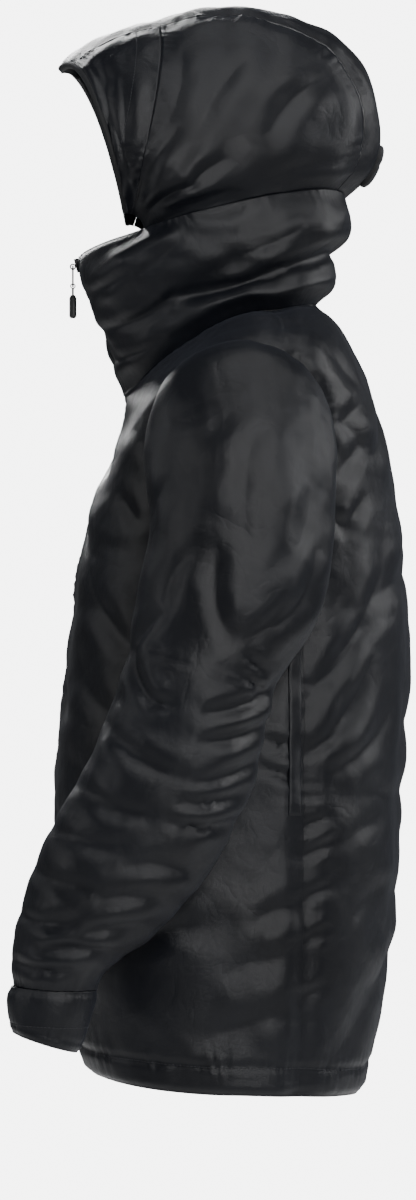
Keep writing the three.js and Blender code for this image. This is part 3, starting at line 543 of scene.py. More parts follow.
def wall_mesh(name, outer, inner, closed=False, kept=None):
    """Outer and inner grids joined into one wall. Cells that aren't kept are left out,
    and a rim closes the wall at every edge of the cells that stay."""
    across, along = outer.shape[:2]
    cells = across if closed else across - 1
    if kept is None:
        kept = np.ones((cells, along - 1), dtype=bool)
    i, j = np.meshgrid(np.arange(cells), np.arange(along - 1), indexing="ij")
    following = (i + 1) % across

    def index(line, place, layer):
        return (layer * across + line) * along + place

    a, b = index(i, j, 0), index(following, j, 0)
    c, d = index(following, j + 1, 0), index(i, j + 1, 0)
    shift = across * along
    faces = [np.stack([a, b, c, d], -1)[kept], np.stack([a, d, c, b], -1)[kept] + shift]
    padded = np.zeros((cells + 2, along + 1), dtype=bool)
    padded[1:-1, 1:-1] = kept
    if closed:
        padded[0, 1:-1] = kept[-1]
        padded[-1, 1:-1] = kept[0]
    sides = (
        (padded[:-2, 1:-1], d, a),
        (padded[2:, 1:-1], b, c),
        (padded[1:-1, :-2], a, b),
        (padded[1:-1, 2:], c, d),
    )
    for beside, start, end in sides:
        rim = kept & ~beside
        faces.append(np.stack([end, start, start + shift, end + shift], -1)[rim])
    quads = np.concatenate(faces)
    vertices = np.concatenate([outer.reshape(-1, 3), inner.reshape(-1, 3)])
    if signed_volume(vertices, quads) < 0:
        quads = quads[:, ::-1]
    flat = np.stack([arc_lengths(outer, 0), arc_lengths(outer, 1)], -1).reshape(-1, 2)
    uv = np.concatenate([flat, flat])
    used = np.unique(quads)
    renumber = np.zeros(len(vertices), dtype=int)
    renumber[used] = np.arange(len(used))
    return new_mesh(name, vertices[used], renumber[quads], uv[used])


def finish_piece(piece, material, node):
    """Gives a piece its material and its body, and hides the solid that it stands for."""
    piece.data.materials.append(material)
    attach(piece, BODY_NAME)
    if node:
        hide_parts(node)
    return piece


def mirror_points(points):
    """The same points on the wearer's other side."""
    return points * np.array([-1.0, 1.0, 1.0])


def edge_distances(points):
    """Distances over a grid from its first and last line, each way: (start across, end
    across, start along, end along)."""
    across = arc_lengths(points, 0)
    along = arc_lengths(points, 1)
    return across, across[-1:] - across, along, along[:, -1:] - along


def away(points, middle_y, climb):
    """Unit directions away from an upright line through (0, middle_y), tilted up."""
    way = points - np.array([0.0, middle_y, 0.0])
    way[..., 2] = 0
    way /= np.linalg.norm(way, axis=-1, keepdims=True)
    way[..., 2] = climb
    return way / math.hypot(1, climb)


def steer(normal, way, distance, reach=13.0):
    """Normals turned to a direction that two panels share at their seam, by a bell of
    the distance from it."""
    share = np.exp(-(distance / reach) ** 2)[..., None]
    mixed = normal * (1 - share) + way * share
    return mixed / np.linalg.norm(mixed, axis=-1, keepdims=True)


def soft_limit(depth, deepest):
    """Depth that bends over smoothly before the inner face: deepest times the tanh of
    its share, and as it is where it stands out."""
    return np.where(depth > 0, deepest * np.tanh(depth / deepest), depth)


def nearest(points, line):
    """Distance from each point to the nearest point of a line, and that point's number."""
    flat = points.reshape(-1, 3)
    distance = np.empty(len(flat))
    number = np.empty(len(flat), dtype=int)
    for start in range(0, len(flat), 4000):
        part = flat[start:start + 4000]
        squares = ((part[:, None, :] - line[None]) ** 2).sum(-1)
        number[start:start + 4000] = squares.argmin(1)
        distance[start:start + 4000] = np.sqrt(squares.min(1))
    return distance.reshape(points.shape[:-1]), number.reshape(points.shape[:-1])


def body_surface(angle, place):
    """The body's smooth surface at an angle round it and a place among its rows."""
    return loop_points(rows_at(BODY, place), angle)


def sleeve_surface(turn, place):
    """The left sleeve's smooth surface."""
    return section_points(rows_at(SLEEVE, place), turn)


def armhole_line():
    """Where the smooth sleeve leaves the smooth body: along each line of the sleeve, the
    last place at which the side of the nearest body point changes from inside to out."""
    angle, place = np.meshgrid(np.linspace(0.2, math.pi - 0.2, 110), np.linspace(6, 14.6, 110), indexing="ij")
    body = body_surface(angle, place)
    normal = outward(body, np.array([0.0, 20.0, -150.0]))
    turns = np.linspace(0, 2 * math.pi, 144, endpoint=False)
    places = np.linspace(0.2, 7.5, 90)
    turn, along = np.meshgrid(turns, places, indexing="ij")
    points = sleeve_surface(turn, along)
    _, number = nearest(points, body.reshape(-1, 3))
    beside = np.sum((points - body.reshape(-1, 3)[number]) * normal.reshape(-1, 3)[number], axis=-1)
    inside = beside < 0
    last = len(places) - 1 - np.argmax(inside[:, ::-1], axis=1)
    last = np.minimum(last, len(places) - 2)
    lines = np.arange(len(turns))
    start, end = beside[lines, last], beside[lines, last + 1]
    part = np.clip(start / (start - end), 0, 1)
    return sleeve_surface(turns, places[last] + part * (places[1] - places[0]))


ARMHOLE = armhole_line()


def armhole_sink(points, depth, seed):
    """Sink and puckers along both armholes."""
    total = np.zeros(points.shape[:-1])
    for side, line in enumerate((ARMHOLE, mirror_points(ARMHOLE))):
        distance, number = nearest(points, line)
        run = np.concatenate([[0], np.cumsum(np.linalg.norm(np.diff(line, axis=0), axis=1))])
        total += depth * np.exp(-(distance / 9) ** 2)
        total -= pucker(distance, run[number], 12, 1.6, 13, seed + side)
    return total


def hem_sink(distance, along):
    """The turned hem: a stitched groove, a soft band below it and a rolled edge, with
    short gathers that stand off the stitches."""
    groove = 2.0 * np.exp(-((distance - HEM_STITCH_HEIGHT) / 4) ** 2)
    rolled = 4.0 * np.exp(-(distance / 4) ** 2)
    gathers = pucker(np.abs(distance - HEM_STITCH_HEIGHT), along, 14, 2.0, 14, 51)
    return groove + rolled - gathers


def body_depth(points, angle, seams, hem, neck, zip_edge=None, first_seam=0):
    """Depth of the body's surface below its smooth form: seams, hem, creases, filling."""
    moved = lie(points)
    side_share = np.clip(np.abs(np.sin(angle)) * 1.6 - 0.5, 0, 1)
    depth = crease_depth(BODY_CREASES, moved[..., 1], moved[..., 2]) * side_share
    behind = np.clip(-np.cos(angle) * 1.5 - 0.1, 0, 1)
    before = np.clip(np.cos(angle) * 1.5 - 0.1, 0, 1)
    depth += crease_depth(BACK_CREASES, points[..., 0], points[..., 2]) * behind
    depth += crease_depth(FRONT_CREASES, points[..., 0], points[..., 2]) * before
    for number, distance in enumerate(seams):
        depth += seam_sink(distance) - pucker(distance, points[..., 2], 17, 2.0, 19, 11 + first_seam + number)
    depth += hem_sink(hem, np.degrees(angle) * 3.4)
    depth += seam_sink(neck, 4) - pucker(neck, np.degrees(angle) * 1.8, 12, 1.4, 12, 31)
    if zip_edge is not None:
        depth += 3.2 * np.exp(-(zip_edge / 5) ** 2) + 1.6 * np.exp(-((zip_edge - 14) / 3) ** 2)
        depth -= pucker(zip_edge, points[..., 2], 17, 1.6, 22, 41)
    depth += armhole_sink(points, 4.2, 21)
    depth -= 1.4 * lumps(points, 95, 5) + 0.5 * lumps(points, 42, 6) + 0.16 * lumps(points, 19, 7)
    return soft_limit(depth, BODY_WALL - 2)


def front_grid(across, along):
    """Angles, places and smooth points of the left front between the zip and its seam."""
    u, v = grid(across, along)
    place = v * (len(BODY["half"]) - 1)
    row = rows_at(BODY, place)
    start = ZIP_HALF / row["half"]
    angle = start + (seam_angle(row) - SEAM_GAP / 2 / row["half"] - start) * u
    return angle, place, loop_points(row, angle)


def flat_zip_edge(normal):
    """The first line of normals without its X part, so that the halves stay apart."""
    normal[0, :, 0] = 0
    normal[0] /= np.linalg.norm(normal[0], axis=-1, keepdims=True)
    return normal


def front_panel(side):
    """Outer and inner grids of a front. The far one is the near one's mirror, but its
    folds are worked out at its own points."""
    angle, _, points = front_grid(104, 236)
    normal = outward(points, np.array([0.0, 0.0, -350.0]))
    zip_edge, seam, hem, neck = edge_distances(points)
    normal = flat_zip_edge(steer(normal, away(points, -15.0, 0.6), neck))
    if side < 0:
        points, normal = mirror_points(points), mirror_points(normal)
    depth = body_depth(points, angle, [seam], hem, neck, zip_edge, 0 if side > 0 else 1)
    return points - normal * depth[..., None], points - normal * BODY_WALL


def back_panel():
    """Outer and inner grids of the back, from one side seam to the other."""
    u, v = grid(128, 236)
    row = rows_at(BODY, v * (len(BODY["half"]) - 1))
    start = seam_angle(row) + SEAM_GAP / 2 / row["half"]
    angle = start + (2 * math.pi - 2 * start) * u
    points = loop_points(row, angle)
    normal = outward(points, np.array([0.0, 0.0, -350.0]))
    near, far, hem, neck = edge_distances(points)
    normal = steer(normal, away(points, -15.0, 0.6), neck)
    depth = body_depth(points, angle, [near, far], hem, neck)
    return points - normal * depth[..., None], points - normal * BODY_WALL


def body_solid():
    """The whole body's outer surface as a closed grid, to trim the sleeves with. The
    distance to a seam is the difference of arc lengths round the body."""
    lines = 300
    u, v = np.meshgrid(np.linspace(0, 1, lines, endpoint=False), np.linspace(0.16, 1, 236), indexing="ij")
    row = rows_at(BODY, v * (len(BODY["half"]) - 1))
    angle = u * 2 * math.pi
    points = loop_points(row, angle)
    normal = outward(points, np.array([0.0, 0.0, -350.0]), closed=True)
    arc = arc_lengths(points, 0)
    columns = np.arange(points.shape[1])
    seams = []
    for seam in (seam_angle(row)[0], 2 * math.pi - seam_angle(row)[0]):
        line = seam / (2 * math.pi) * lines
        low = np.floor(line).astype(int)
        at_seam = arc[low, columns] * (1 - line + low) + arc[low + 1, columns] * (line - low)
        seams.append(np.abs(arc - at_seam))
    _, _, hem, neck = edge_distances(points)
    normal = steer(normal, away(points, -15.0, 0.6), neck)
    depth = body_depth(points, angle, seams, hem + 100, neck)
    return points - normal * depth[..., None]


def capped_mesh(name, points):
    """A closed grid with both ends filled by fans about their middles."""
    across, along = points.shape[:2]
    i, j = np.meshgrid(np.arange(across), np.arange(along - 1), indexing="ij")
    following = (i + 1) % across
    quads = np.stack([i * along + j, following * along + j, following * along + j + 1, i * along + j + 1], -1)
    vertices = points.reshape(-1, 3)
    quads = quads.reshape(-1, 4)
    ring = np.arange(across)
    first = len(vertices)
    low = np.stack([np.roll(ring, -1) * along, ring * along, np.full(across, first)], -1)
    high = np.stack([ring * along + along - 1, np.roll(ring, -1) * along + along - 1,
                     np.full(across, first + 1)], -1)
    vertices = np.concatenate([vertices, points[:, 0].mean(0)[None], points[:, -1].mean(0)[None]])
    faces = quads.tolist() + low.tolist() + high.tolist()
    if signed_volume(vertices, quads) < 0:
        faces = [face[::-1] for face in faces]
    mesh = bpy.data.meshes.new(name)
    mesh.from_pydata((vertices * MM).tolist(), [], faces)
    solid = bpy.data.objects.new(name, mesh)
    bpy.context.scene.collection.objects.link(solid)
    return solid


def sleeve_depth(points, turn, place, cuff_edge):
    """Depth of the sleeve's surface: armhole, creases on its outer and inner side, the
    gathers over the cuff, and the filling."""
    moved = lie(points)
    outer_share = np.clip(np.sin(turn) * 1.5 + 0.5, 0.45, 1)
    depth = crease_depth(SLEEVE_CREASES, moved[..., 1], moved[..., 2]) * outer_share
    depth += armhole_sink(points, 4.2, 23)
    depth += seam_sink(cuff_edge, 3.5) - pucker(cuff_edge, np.degrees(turn) * 0.9, 13, 1.8, 12, 33)
    depth -= 1.3 * lumps(points, 80, 15) + 0.5 * lumps(points, 36, 16) + 0.15 * lumps(points, 17, 17)
    return soft_limit(depth, SLEEVE_WALL - 2)


def sleeve_grids(side, swell=0.0, first=0.0, last=17.0, across=160, along=200):
    """Outer and inner closed grids of a sleeve, the outer one moved out by swell."""
    turn, place = np.meshgrid(np.linspace(0, 2 * math.pi, across, endpoint=False),
                              np.linspace(first, last, along + 1), indexing="ij")
    points = sleeve_surface(turn, place)
    normal = outward(points, points.mean(axis=0, keepdims=True), closed=True)
    cuff_edge = np.abs(points[..., 2] - SLEEVE["inner_z"][-1])
    if side < 0:
        points, normal = mirror_points(points), mirror_points(normal)
    depth = sleeve_depth(points, turn, place, cuff_edge) - swell
    return points - normal * depth[..., None], points - normal * SLEEVE_WALL


def cuff_grids(side):
    """Outer and inner closed grids of a cuff band, sunk at its seam, its stitched row
    and its rolled edge, with uneven gathers between."""
    turn, place = np.meshgrid(np.linspace(0, 2 * math.pi, 130, endpoint=False),
                              np.linspace(0, 2, 34), indexing="ij")
    points = section_points(rows_at(CUFF, place), turn)
    normal = outward(points, points.mean(axis=0, keepdims=True), closed=True)
    along = arc_lengths(points, 1)
    edge = along[:, -1:] - along
    depth = 2.4 * np.exp(-(along / 5) ** 2) + 2.4 * np.exp(-(edge / 4) ** 2)
    depth += 1.0 * np.exp(-((edge - 9) / 2.5) ** 2)
    girth = np.degrees(turn) * 0.75
    depth -= pucker(along, girth, 12, 1.6, 14, 71) + pucker(np.abs(edge - 9), girth, 9, 1.0, 9, 72)
    depth -= 0.5 * lumps(points, 30, 73)
    if side < 0:
        points, normal = mirror_points(points), mirror_points(normal)
    return points - normal * soft_limit(depth, CUFF_WALL - 1)[..., None], points - normal * CUFF_WALL


def collar_grid(across=150, along=76):
    """Angles and smooth points of the left half of the collar."""
    u, v = grid(across, along)
    start = ZIP_HALF / (92 + 8 * v)
    angle = start + (math.pi - SEAM_GAP / 2 / 92 - start) * u
    return angle, v, collar_points(angle, v * len(COLLAR["half"]))


def collar_half(side):
    """Outer and inner grids of a collar half: two rolls with a deep crease between."""
    angle, v, points = collar_grid()
    zip_edge, middle, neck, top = edge_distances(points)
    normal = outward(points, np.array([0.0, -20.0, 30.0]))
    normal = steer(normal, away(points, -15.0, 0.6), neck)
    normal = flat_zip_edge(steer(normal, away(points, -20.0, 0.0), top))
    normal[-1, :, 0] = 0
    if side < 0:
        points, normal = mirror_points(points), mirror_points(normal)
    moved = lie(points)
    depth = crease_depth(COLLAR_CREASES, moved[..., 1], moved[..., 2])
    chin = np.clip((COLLAR_CORNER_ANGLE - angle) / 0.12, 0, 1)
    girth = np.degrees(angle) * 1.8
    depth += seam_sink(neck, 4) - pucker(neck, girth, 12, 1.5, 11, 81)
    depth += seam_sink(top, 4) * (1 - chin) + 3.5 * np.exp(-(top / 4) ** 2) * chin
    depth -= pucker(top, girth, 11, 1.5, 11, 82) * (1 - chin)
    depth += 2.6 * np.exp(-(zip_edge / 5) ** 2) + 1.4 * np.exp(-((zip_edge - 14) / 3) ** 2)
    depth += seam_sink(middle, 2)
    depth -= 1.2 * lumps(points, 60, 83) + 0.6 * lumps(points, 26, 84)
    depth = soft_limit(depth, COLLAR_WALL - 2)
    return points - normal * depth[..., None], points - normal * COLLAR_WALL


def hood_grids(part, side, across, along):
    """Outer and inner grids of a hood panel. part is side, brim or crown."""
    u, v = grid(across, along)
    if part == "crown":
        place = 2 * v
        start = edge_rise(place) + SEAM_GAP / HOOD_WIDEST_REACH / 2
        rise = start + (2 - 2 * start) * u
    else:
        gap = SEAM_GAP / HOOD_WIDEST_REACH / 2
        place = v * (1 - gap) if part == "side" else 1 + gap + v * (1 - gap)
        rise = (edge_rise(place) - gap) * u
        rise = 2 - rise if side < 0 else rise
    points = hood_points(fan_angle(rise, place), rise)
    normal = outward(points, np.array([0.0, -20.0, 190.0]))
    first, last, foot, head = edge_distances(points)
    if part != "brim":
        normal = steer(normal, away(points, -20.0, 0.0), foot)
    moved = lie(points)
    depth = crease_depth(HOOD_CREASES, moved[..., 1], moved[..., 2])
    reach = np.hypot(points[..., 1] - HOOD_PIVOT_Y, points[..., 2] - HOOD_PIVOT_Z)
    spread = fan_angle(rise, place) * 2.4
    if part == "crown":
        depth *= 0.4
        depth += seam_sink(first, 3) + seam_sink(last, 3)
        depth -= pucker(first, spread, 11, 2.0, 11, 91) + pucker(last, spread, 11, 2.0, 11, 92)
        depth += seam_sink(foot, 4) + 2.6 * np.exp(-(head / 4) ** 2)
        depth += 2.2 * np.exp(-(np.abs(place - 1) * 70 / 6) ** 2)
    else:
        depth += seam_sink(last, 3) - pucker(last, spread, 10, 2.2, 13, 93)
        if part == "side":
            depth += seam_sink(foot, 4) - pucker(foot, reach, 12, 1.8, 13, 94)
            depth += seam_sink(head, 2.6) - pucker(head, reach, 13, 1.2, 12, 95)
        else:
            depth += seam_sink(foot, 2.6) - pucker(foot, reach, 13, 1.2, 10, 96)
            depth += 2.6 * np.exp(-(head / 4) ** 2) + 1.3 * np.exp(-((head - 12) / 2.5) ** 2)
            depth -= pucker(np.abs(head - 12), reach, 12, 1.0, 9, 97)
    depth -= 1.1 * lumps(points, 70, 98) + 0.7 * lumps(points, 30, 99)
    depth = soft_limit(depth, HOOD_WALL - 2)
    return points - normal * depth[..., None], points - normal * HOOD_WALL


def tube_mesh(name, line, radius, sides=10, closed=False, flatten=1.0, normal=None):
    """A tube along a line: a circle of the radius in the plane across each step, its
    width along the given normals multiplied by flatten."""
    ahead = np.gradient(line, axis=0)
    if closed:
        ahead = np.roll(line, -1, axis=0) - np.roll(line, 1, axis=0)
    ahead /= np.linalg.norm(ahead, axis=1, keepdims=True)
    if normal is None:
        normal = np.broadcast_to(np.array([0.31, 0.2, 0.93]), line.shape)
    aside = np.cross(ahead, normal)
    aside /= np.linalg.norm(aside, axis=1, keepdims=True)
    up = np.cross(aside, ahead)
    turn = np.linspace(0, 2 * math.pi, sides, endpoint=False)
    ring = np.cos(turn)[None, :, None] * aside[:, None] + flatten * np.sin(turn)[None, :, None] * up[:, None]
    points = line[:, None] + ring * np.reshape(radius, (-1, 1, 1))
    count = len(line)
    i, j = np.meshgrid(np.arange(count if closed else count - 1), np.arange(sides), indexing="ij")
    after, beside = (i + 1) % count, (j + 1) % sides
    quads = np.stack([i * sides + j, i * sides + beside, after * sides + beside, after * sides + j], -1)
    vertices, quads = points.reshape(-1, 3), quads.reshape(-1, 4)
    if not closed:
        vertices = np.concatenate([vertices, line[[0]], line[[-1]]])
        ring_index, last = np.arange(0, sides, 2), (count - 1) * sides
        caps = []
        for start, tip, back in ((0, count * sides, True), (last, count * sides + 1, False)):
            fan = np.stack([ring_index + start, (ring_index + 1) % sides + start,
                            (ring_index + 2) % sides + start, np.full(len(ring_index), tip)], -1)
            caps.append(fan[:, ::-1] if back else fan)
        quads = np.concatenate([quads] + caps)
    if signed_volume(vertices, quads) < 0:
        quads = quads[:, ::-1]
    return new_mesh(name, vertices, quads)


def resample(line, pitch):
    """Points an even pitch apart along a line, and the directions there."""
    run = np.concatenate([[0], np.cumsum(np.linalg.norm(np.diff(line, axis=0), axis=1))])
    places = np.arange(pitch / 2, run[-1], pitch)
    points = np.stack([np.interp(places, run, line[:, k]) for k in range(3)], -1)
    ahead = np.stack([np.interp(places, run, np.gradient(line[:, k])) for k in range(3)], -1)
    return points, ahead / np.linalg.norm(ahead, axis=1, keepdims=True), places / run[-1]


def stitch_mesh(name, lines, pitch=3.4, length=2.6, radius=0.42):
    """Rows of stitches: each is a short six-sided grain, thickest in its middle, lying
    half sunk along its line. lines holds (points, outward normals) pairs."""
    turn = np.linspace(0, 2 * math.pi, 6, endpoint=False)
    profile = np.array([[-0.5, 0.15], [-0.28, 0.9], [0.28, 0.9], [0.5, 0.15]])
    vertices, quads = [], []
    count = 0
    for line, out in lines:
        points, ahead, places = resample(line, pitch)
        share = np.linspace(0, 1, len(out))
        normal = np.stack([np.interp(places, share, out[:, k]) for k in range(3)], -1)
        normal -= np.sum(normal * ahead, -1, keepdims=True) * ahead
        normal /= np.linalg.norm(normal, axis=1, keepdims=True)
        aside = np.cross(ahead, normal)
        shape = (points[:, None, None] + profile[None, :, None, :1] * length * ahead[:, None, None]
                 + radius * profile[None, :, None, 1:] * (np.cos(turn)[None, None, :, None] * aside[:, None, None]
                                                          + np.sin(turn)[None, None, :, None] * normal[:, None, None])
                 + 0.15 * normal[:, None, None])
        rings = len(profile)
        n, r, k = np.meshgrid(np.arange(len(points)), np.arange(rings - 1), np.arange(6), indexing="ij")
        base = n * rings * 6 + count
        beside = (k + 1) % 6
        sides = np.stack([base + r * 6 + k, base + r * 6 + beside, base + (r + 1) * 6 + beside,
                          base + (r + 1) * 6 + k], -1).reshape(-1, 4)
        start = (np.arange(len(points)) * rings * 6 + count)[:, None]
        end = start + (rings - 1) * 6
        ends = [start + [3, 2, 1, 0], start + [5, 4, 3, 0], end + [0, 1, 2, 3], end + [0, 3, 4, 5]]
        quads.append(np.concatenate([sides] + ends))
        vertices.append(shape.reshape(-1, 3))
        count += len(points) * rings * 6
    vertices, quads = np.concatenate(vertices), np.concatenate(quads)
    if signed_volume(vertices, quads) < 0:
        quads = quads[:, ::-1]
    return new_mesh(name, vertices, quads)


def trim(piece, *cutters):
    """Cuts closed solids out of a closed piece and keeps the result as its mesh."""
    for cutter in cutters:
        cut = piece.modifiers.new("armhole", "BOOLEAN")
        cut.operation = "DIFFERENCE"
        cut.solver = "MANIFOLD"
        cut.object = cutter
    bpy.context.view_layer.update()
    seen = piece.evaluated_get(bpy.context.evaluated_depsgraph_get())
    mesh = bpy.data.meshes.new_from_object(seen)
    piece.modifiers.clear()
    piece.data = mesh
    mesh.materials.clear()
    mesh.polygons.foreach_set("material_index", np.zeros(len(mesh.polygons), dtype=np.int32))
    mesh.set_sharp_from_angle(angle=math.radians(50))
    return piece


def contour(outer, normal, distance, level, axis):
    """Points and normals of a grid where a distance along one axis reaches a level."""
    both = np.concatenate([outer, normal], axis=-1)
    if axis == 0:
        both, distance = both.swapaxes(0, 1), distance.T
    after = np.clip(np.argmax(distance >= level, axis=1), 1, distance.shape[1] - 1)
    lines = np.arange(len(distance))
    low, high = distance[lines, after - 1], distance[lines, after]
    part = np.clip((level - low) / (high - low), 0, 1)[:, None]
    found = both[lines, after - 1] * (1 - part) + both[lines, after] * part
    return found[:, :3], found[:, 3:]


def zip_line():
    """Middle line of the front from the hem to the collar's top, and the direction out
    of the front at each point."""
    rows = rows_at(BODY, np.linspace(0.08, 15, 320))
    body = stack(np.zeros(320), rows["front_y"], rows["front_z"])
    places = np.linspace(0.12, 5, 70)
    collar = collar_points(np.zeros((70, 1)), places[:, None])[:, 0]
    line = np.concatenate([body, collar])
    line, ahead, _ = resample(line, 2.0)
    out = np.cross(ahead, np.array([1.0, 0.0, 0.0]))
    out *= -np.sign(out[:, 1:2])
    return line, ahead, out


def zip_tape_mesh(name):
    """A strip behind the gap of the fronts: it follows the zip line at its own depth,
    bowed a little across, with a rim all round."""
    line, _, out = zip_line()
    across = np.linspace(-1, 1, 9)
    depth = np.where(line[:, 2] > -50, 4.0, 5.6)
    bowed = depth[None, :, None] + 0.5 * (across ** 2)[:, None, None]
    outer = line[None] + np.array([4.1, 0, 0]) * across[:, None, None] - out[None] * bowed
    return wall_mesh(name, outer, outer - out[None] * 1.2), np.linalg.norm(np.diff(line, axis=0), axis=1).sum()


def zip_teeth_mesh(name, pitch=2.9):
    """Moulded teeth up to the slider: each is a block with rounded corners, set to the
    left and the right in turn, joined from one array."""
    line, _, _ = zip_line()
    line = line[line[:, 2] < 67]
    points, ahead, _ = resample(line, pitch)
    out = np.cross(ahead, np.array([1.0, 0.0, 0.0]))
    out *= -np.sign(out[:, 1:2])
    depth = np.where(points[:, 2] > -50, 2.9, 4.4)[:, None]
    middle = points - out * depth
    shift = np.where(np.arange(len(points)) % 2 == 0, 0.55, -0.55)
    corner = np.array([[1, -.5], [1, .5], [.7, 1], [-.7, 1], [-1, .5], [-1, -.5], [-.7, -1], [.7, -1]])
    ring = (corner[None, :, :1] * 2.2 + shift[:, None, None]) * np.array([1.0, 0, 0]) \
        + corner[None, :, 1:] * 1.15 * out[:, None]
    low = middle[:, None] + ring * 0.92 - ahead[:, None] * 0.95
    mid = middle[:, None] + ring
    high = middle[:, None] + ring * 0.92 + ahead[:, None] * 0.95
    vertices = np.stack([low, mid, high], axis=1).reshape(-1, 3)
    n, r, k = np.meshgrid(np.arange(len(points)), np.arange(2), np.arange(8), indexing="ij")
    base = n * 24 + r * 8
    sides = np.stack([base + k, base + (k + 1) % 8, base + 8 + (k + 1) % 8, base + 8 + k], -1).reshape(-1, 4)
    start = (np.arange(len(points)) * 24)[:, None]
    fans = np.array([[0, 1, 2, 7], [7, 2, 3, 6], [6, 3, 4, 5]])
    ends = [start + fan[::-1] for fan in fans] + [start + 16 + fan for fan in fans]
    quads = np.concatenate([sides] + ends)
    if signed_volume(vertices, quads) < 0:
        quads = quads[:, ::-1]
    return new_mesh(name, vertices, quads)


def welt_grids(outer, side):
    """A pocket welt: the front's outer points beside the seam, evened along the strip
    and moved out by a crowned profile that is lowest at its long edges."""
    strip = outer[-6:-1]
    keep = (strip[2, :, 2] > -441) & (strip[2, :, 2] < -281)
    strip = strip[:, keep]
    weights = np.ones(9) / 9
    padded = np.pad(strip, ((0, 0), (4, 4), (0, 0)), mode="edge")
    even = np.stack([np.stack([np.convolve(padded[i, :, c], weights, mode="valid")
                               for c in range(3)], -1) for i in range(strip.shape[0])])
    even[:, :4], even[:, -4:] = strip[:, :4], strip[:, -4:]
    places = np.linspace(0, even.shape[0] - 1, 19)
    low = np.clip(np.floor(places).astype(int), 0, even.shape[0] - 2)
    part = (places - low)[:, None, None]
    fine = even[low] * (1 - part) + even[low + 1] * part
    normal = outward(fine, np.array([0.0, 0.0, -360.0]))
    u, v = grid(fine.shape[0] - 1, fine.shape[1] - 1)
    crown = (1 - np.abs(2 * u - 1) ** 4) ** 0.5 * (1 - np.abs(2 * v - 1) ** 30) ** 0.5
    ripple = 0.5 * lumps(fine, 20, 61)
    return fine + normal * (0.4 + (1.4 + ripple) * crown)[..., None], fine - normal * 1.0


def hood_tab_grids():
    """The adjuster's cover at the back of the hood: a crowned patch with round corners
    over the hood's points from side to side and from one angle of the fan to another."""
    u, v = grid(40, 44)
    s, t = 2 * u - 1, 2 * v - 1
    limit = (np.abs(s) ** 4 + np.abs(t) ** 4) ** 0.25
    largest = np.maximum(np.maximum(np.abs(s), np.abs(t)), 1e-6)
    pull = np.where(limit > 0, largest / np.maximum(limit, 1e-6), 1)
    s, t = s * pull, t * pull
    angle = 16.2 + 3.9 * t
    row = rows_for(HOOD, "angle", angle)
    lean = arch_lean(row["half"])
    tau = np.arccos(s * 17 / row["half"])
    points = hood_points(angle, (tau + lean) / (math.pi / 2 + lean))
    normal = outward(points, np.array([0.0, -20.0, 170.0]))
    edge = (1 - np.clip(largest, 0, 1) ** 6) ** 0.5
    ridge = 0.8 * np.exp(-((t - 0.1) / 0.12) ** 2)
    return points + normal * (edge * (5.2 - ridge))[..., None], points - normal * 3.0


def node_group(name, inputs, outputs):
    """An empty shader node group with named sockets, and its input and output nodes."""
    group = bpy.data.node_groups.new(name, "ShaderNodeTree")
    for label, kind, value in inputs:
        socket = group.interface.new_socket(name=label, in_out="INPUT", socket_type=kind)
        if value is not None:
            socket.default_value = value
    for label, kind in outputs:
        group.interface.new_socket(name=label, in_out="OUTPUT", socket_type=kind)
    return group, group.nodes.new("NodeGroupInput"), group.nodes.new("NodeGroupOutput")


def math_node(tree, kind, first, second=None):
    """A math node fed by sockets or numbers; returns its output."""
    node = tree.nodes.new("ShaderNodeMath")
    node.operation = kind
    for socket, value in zip(node.inputs, (first, second)):
        if value is None:
            continue
        if isinstance(value, (int, float)):
            socket.default_value = value
        else:
            tree.links.new(value, socket)
    return node.outputs[0]


def crinkle_group():
    """Height of the small sharp wrinkles of coated nylon: two layers of noise folded
    about their middle, so that each makes narrow creases between soft facets."""
    group, inside, out = node_group(
        "nylon_crinkle",
        [("Vector", "NodeSocketVector", None), ("Size", "NodeSocketFloat", 30.0)],
        [("Height", "NodeSocketFloat"), ("Cloud", "NodeSocketFloat")])
    total = None
    for factor, weight in ((1.0, 1.0), (2.7, 0.45), (6.1, 0.16)):
        noise = group.nodes.new("ShaderNodeTexNoise")
        noise.inputs["Detail"].default_value = 2.0
        noise.inputs["Roughness"].default_value = 0.45
        noise.inputs["Distortion"].default_value = 0.7
        group.links.new(inside.outputs["Vector"], noise.inputs["Vector"])
        group.links.new(math_node(group, "MULTIPLY", inside.outputs["Size"], factor), noise.inputs["Scale"])
        folded = math_node(group, "ABSOLUTE", math_node(group, "SUBTRACT", noise.outputs["Fac"], 0.5))
        soft = math_node(group, "POWER", math_node(group, "MULTIPLY", folded, 3.0), 0.7)
        part = math_node(group, "MULTIPLY", soft, weight)
        total = part if total is None else math_node(group, "ADD", total, part)
    cloud = group.nodes.new("ShaderNodeTexNoise")
    cloud.inputs["Scale"].default_value = 9.0
    cloud.inputs["Detail"].default_value = 4.0
    group.links.new(inside.outputs["Vector"], cloud.inputs["Vector"])
    group.links.new(total, out.inputs["Height"])
    group.links.new(cloud.outputs["Fac"], out.inputs["Cloud"])
    return group


def weave_group():
    """Height of a plain weave: the product of a warp and a weft wave of one pitch, in
    the metres of the UV map."""
    group, inside, out = node_group(
        "plain_weave",
        [("Vector", "NodeSocketVector", None), ("Pitch", "NodeSocketFloat", 0.0006)],
        [("Height", "NodeSocketFloat")])
    split = group.nodes.new("ShaderNodeSeparateXYZ")
    group.links.new(inside.outputs["Vector"], split.inputs[0])
    turns = math_node(group, "DIVIDE", 2 * math.pi, inside.outputs["Pitch"])
    warp = math_node(group, "SINE", math_node(group, "MULTIPLY", split.outputs["X"], turns))
    weft = math_node(group, "SINE", math_node(group, "MULTIPLY", split.outputs["Y"], turns))
    group.links.new(math_node(group, "MULTIPLY", warp, weft), out.inputs["Height"])
    return group


CRINKLE = crinkle_group()
WEAVE = weave_group()


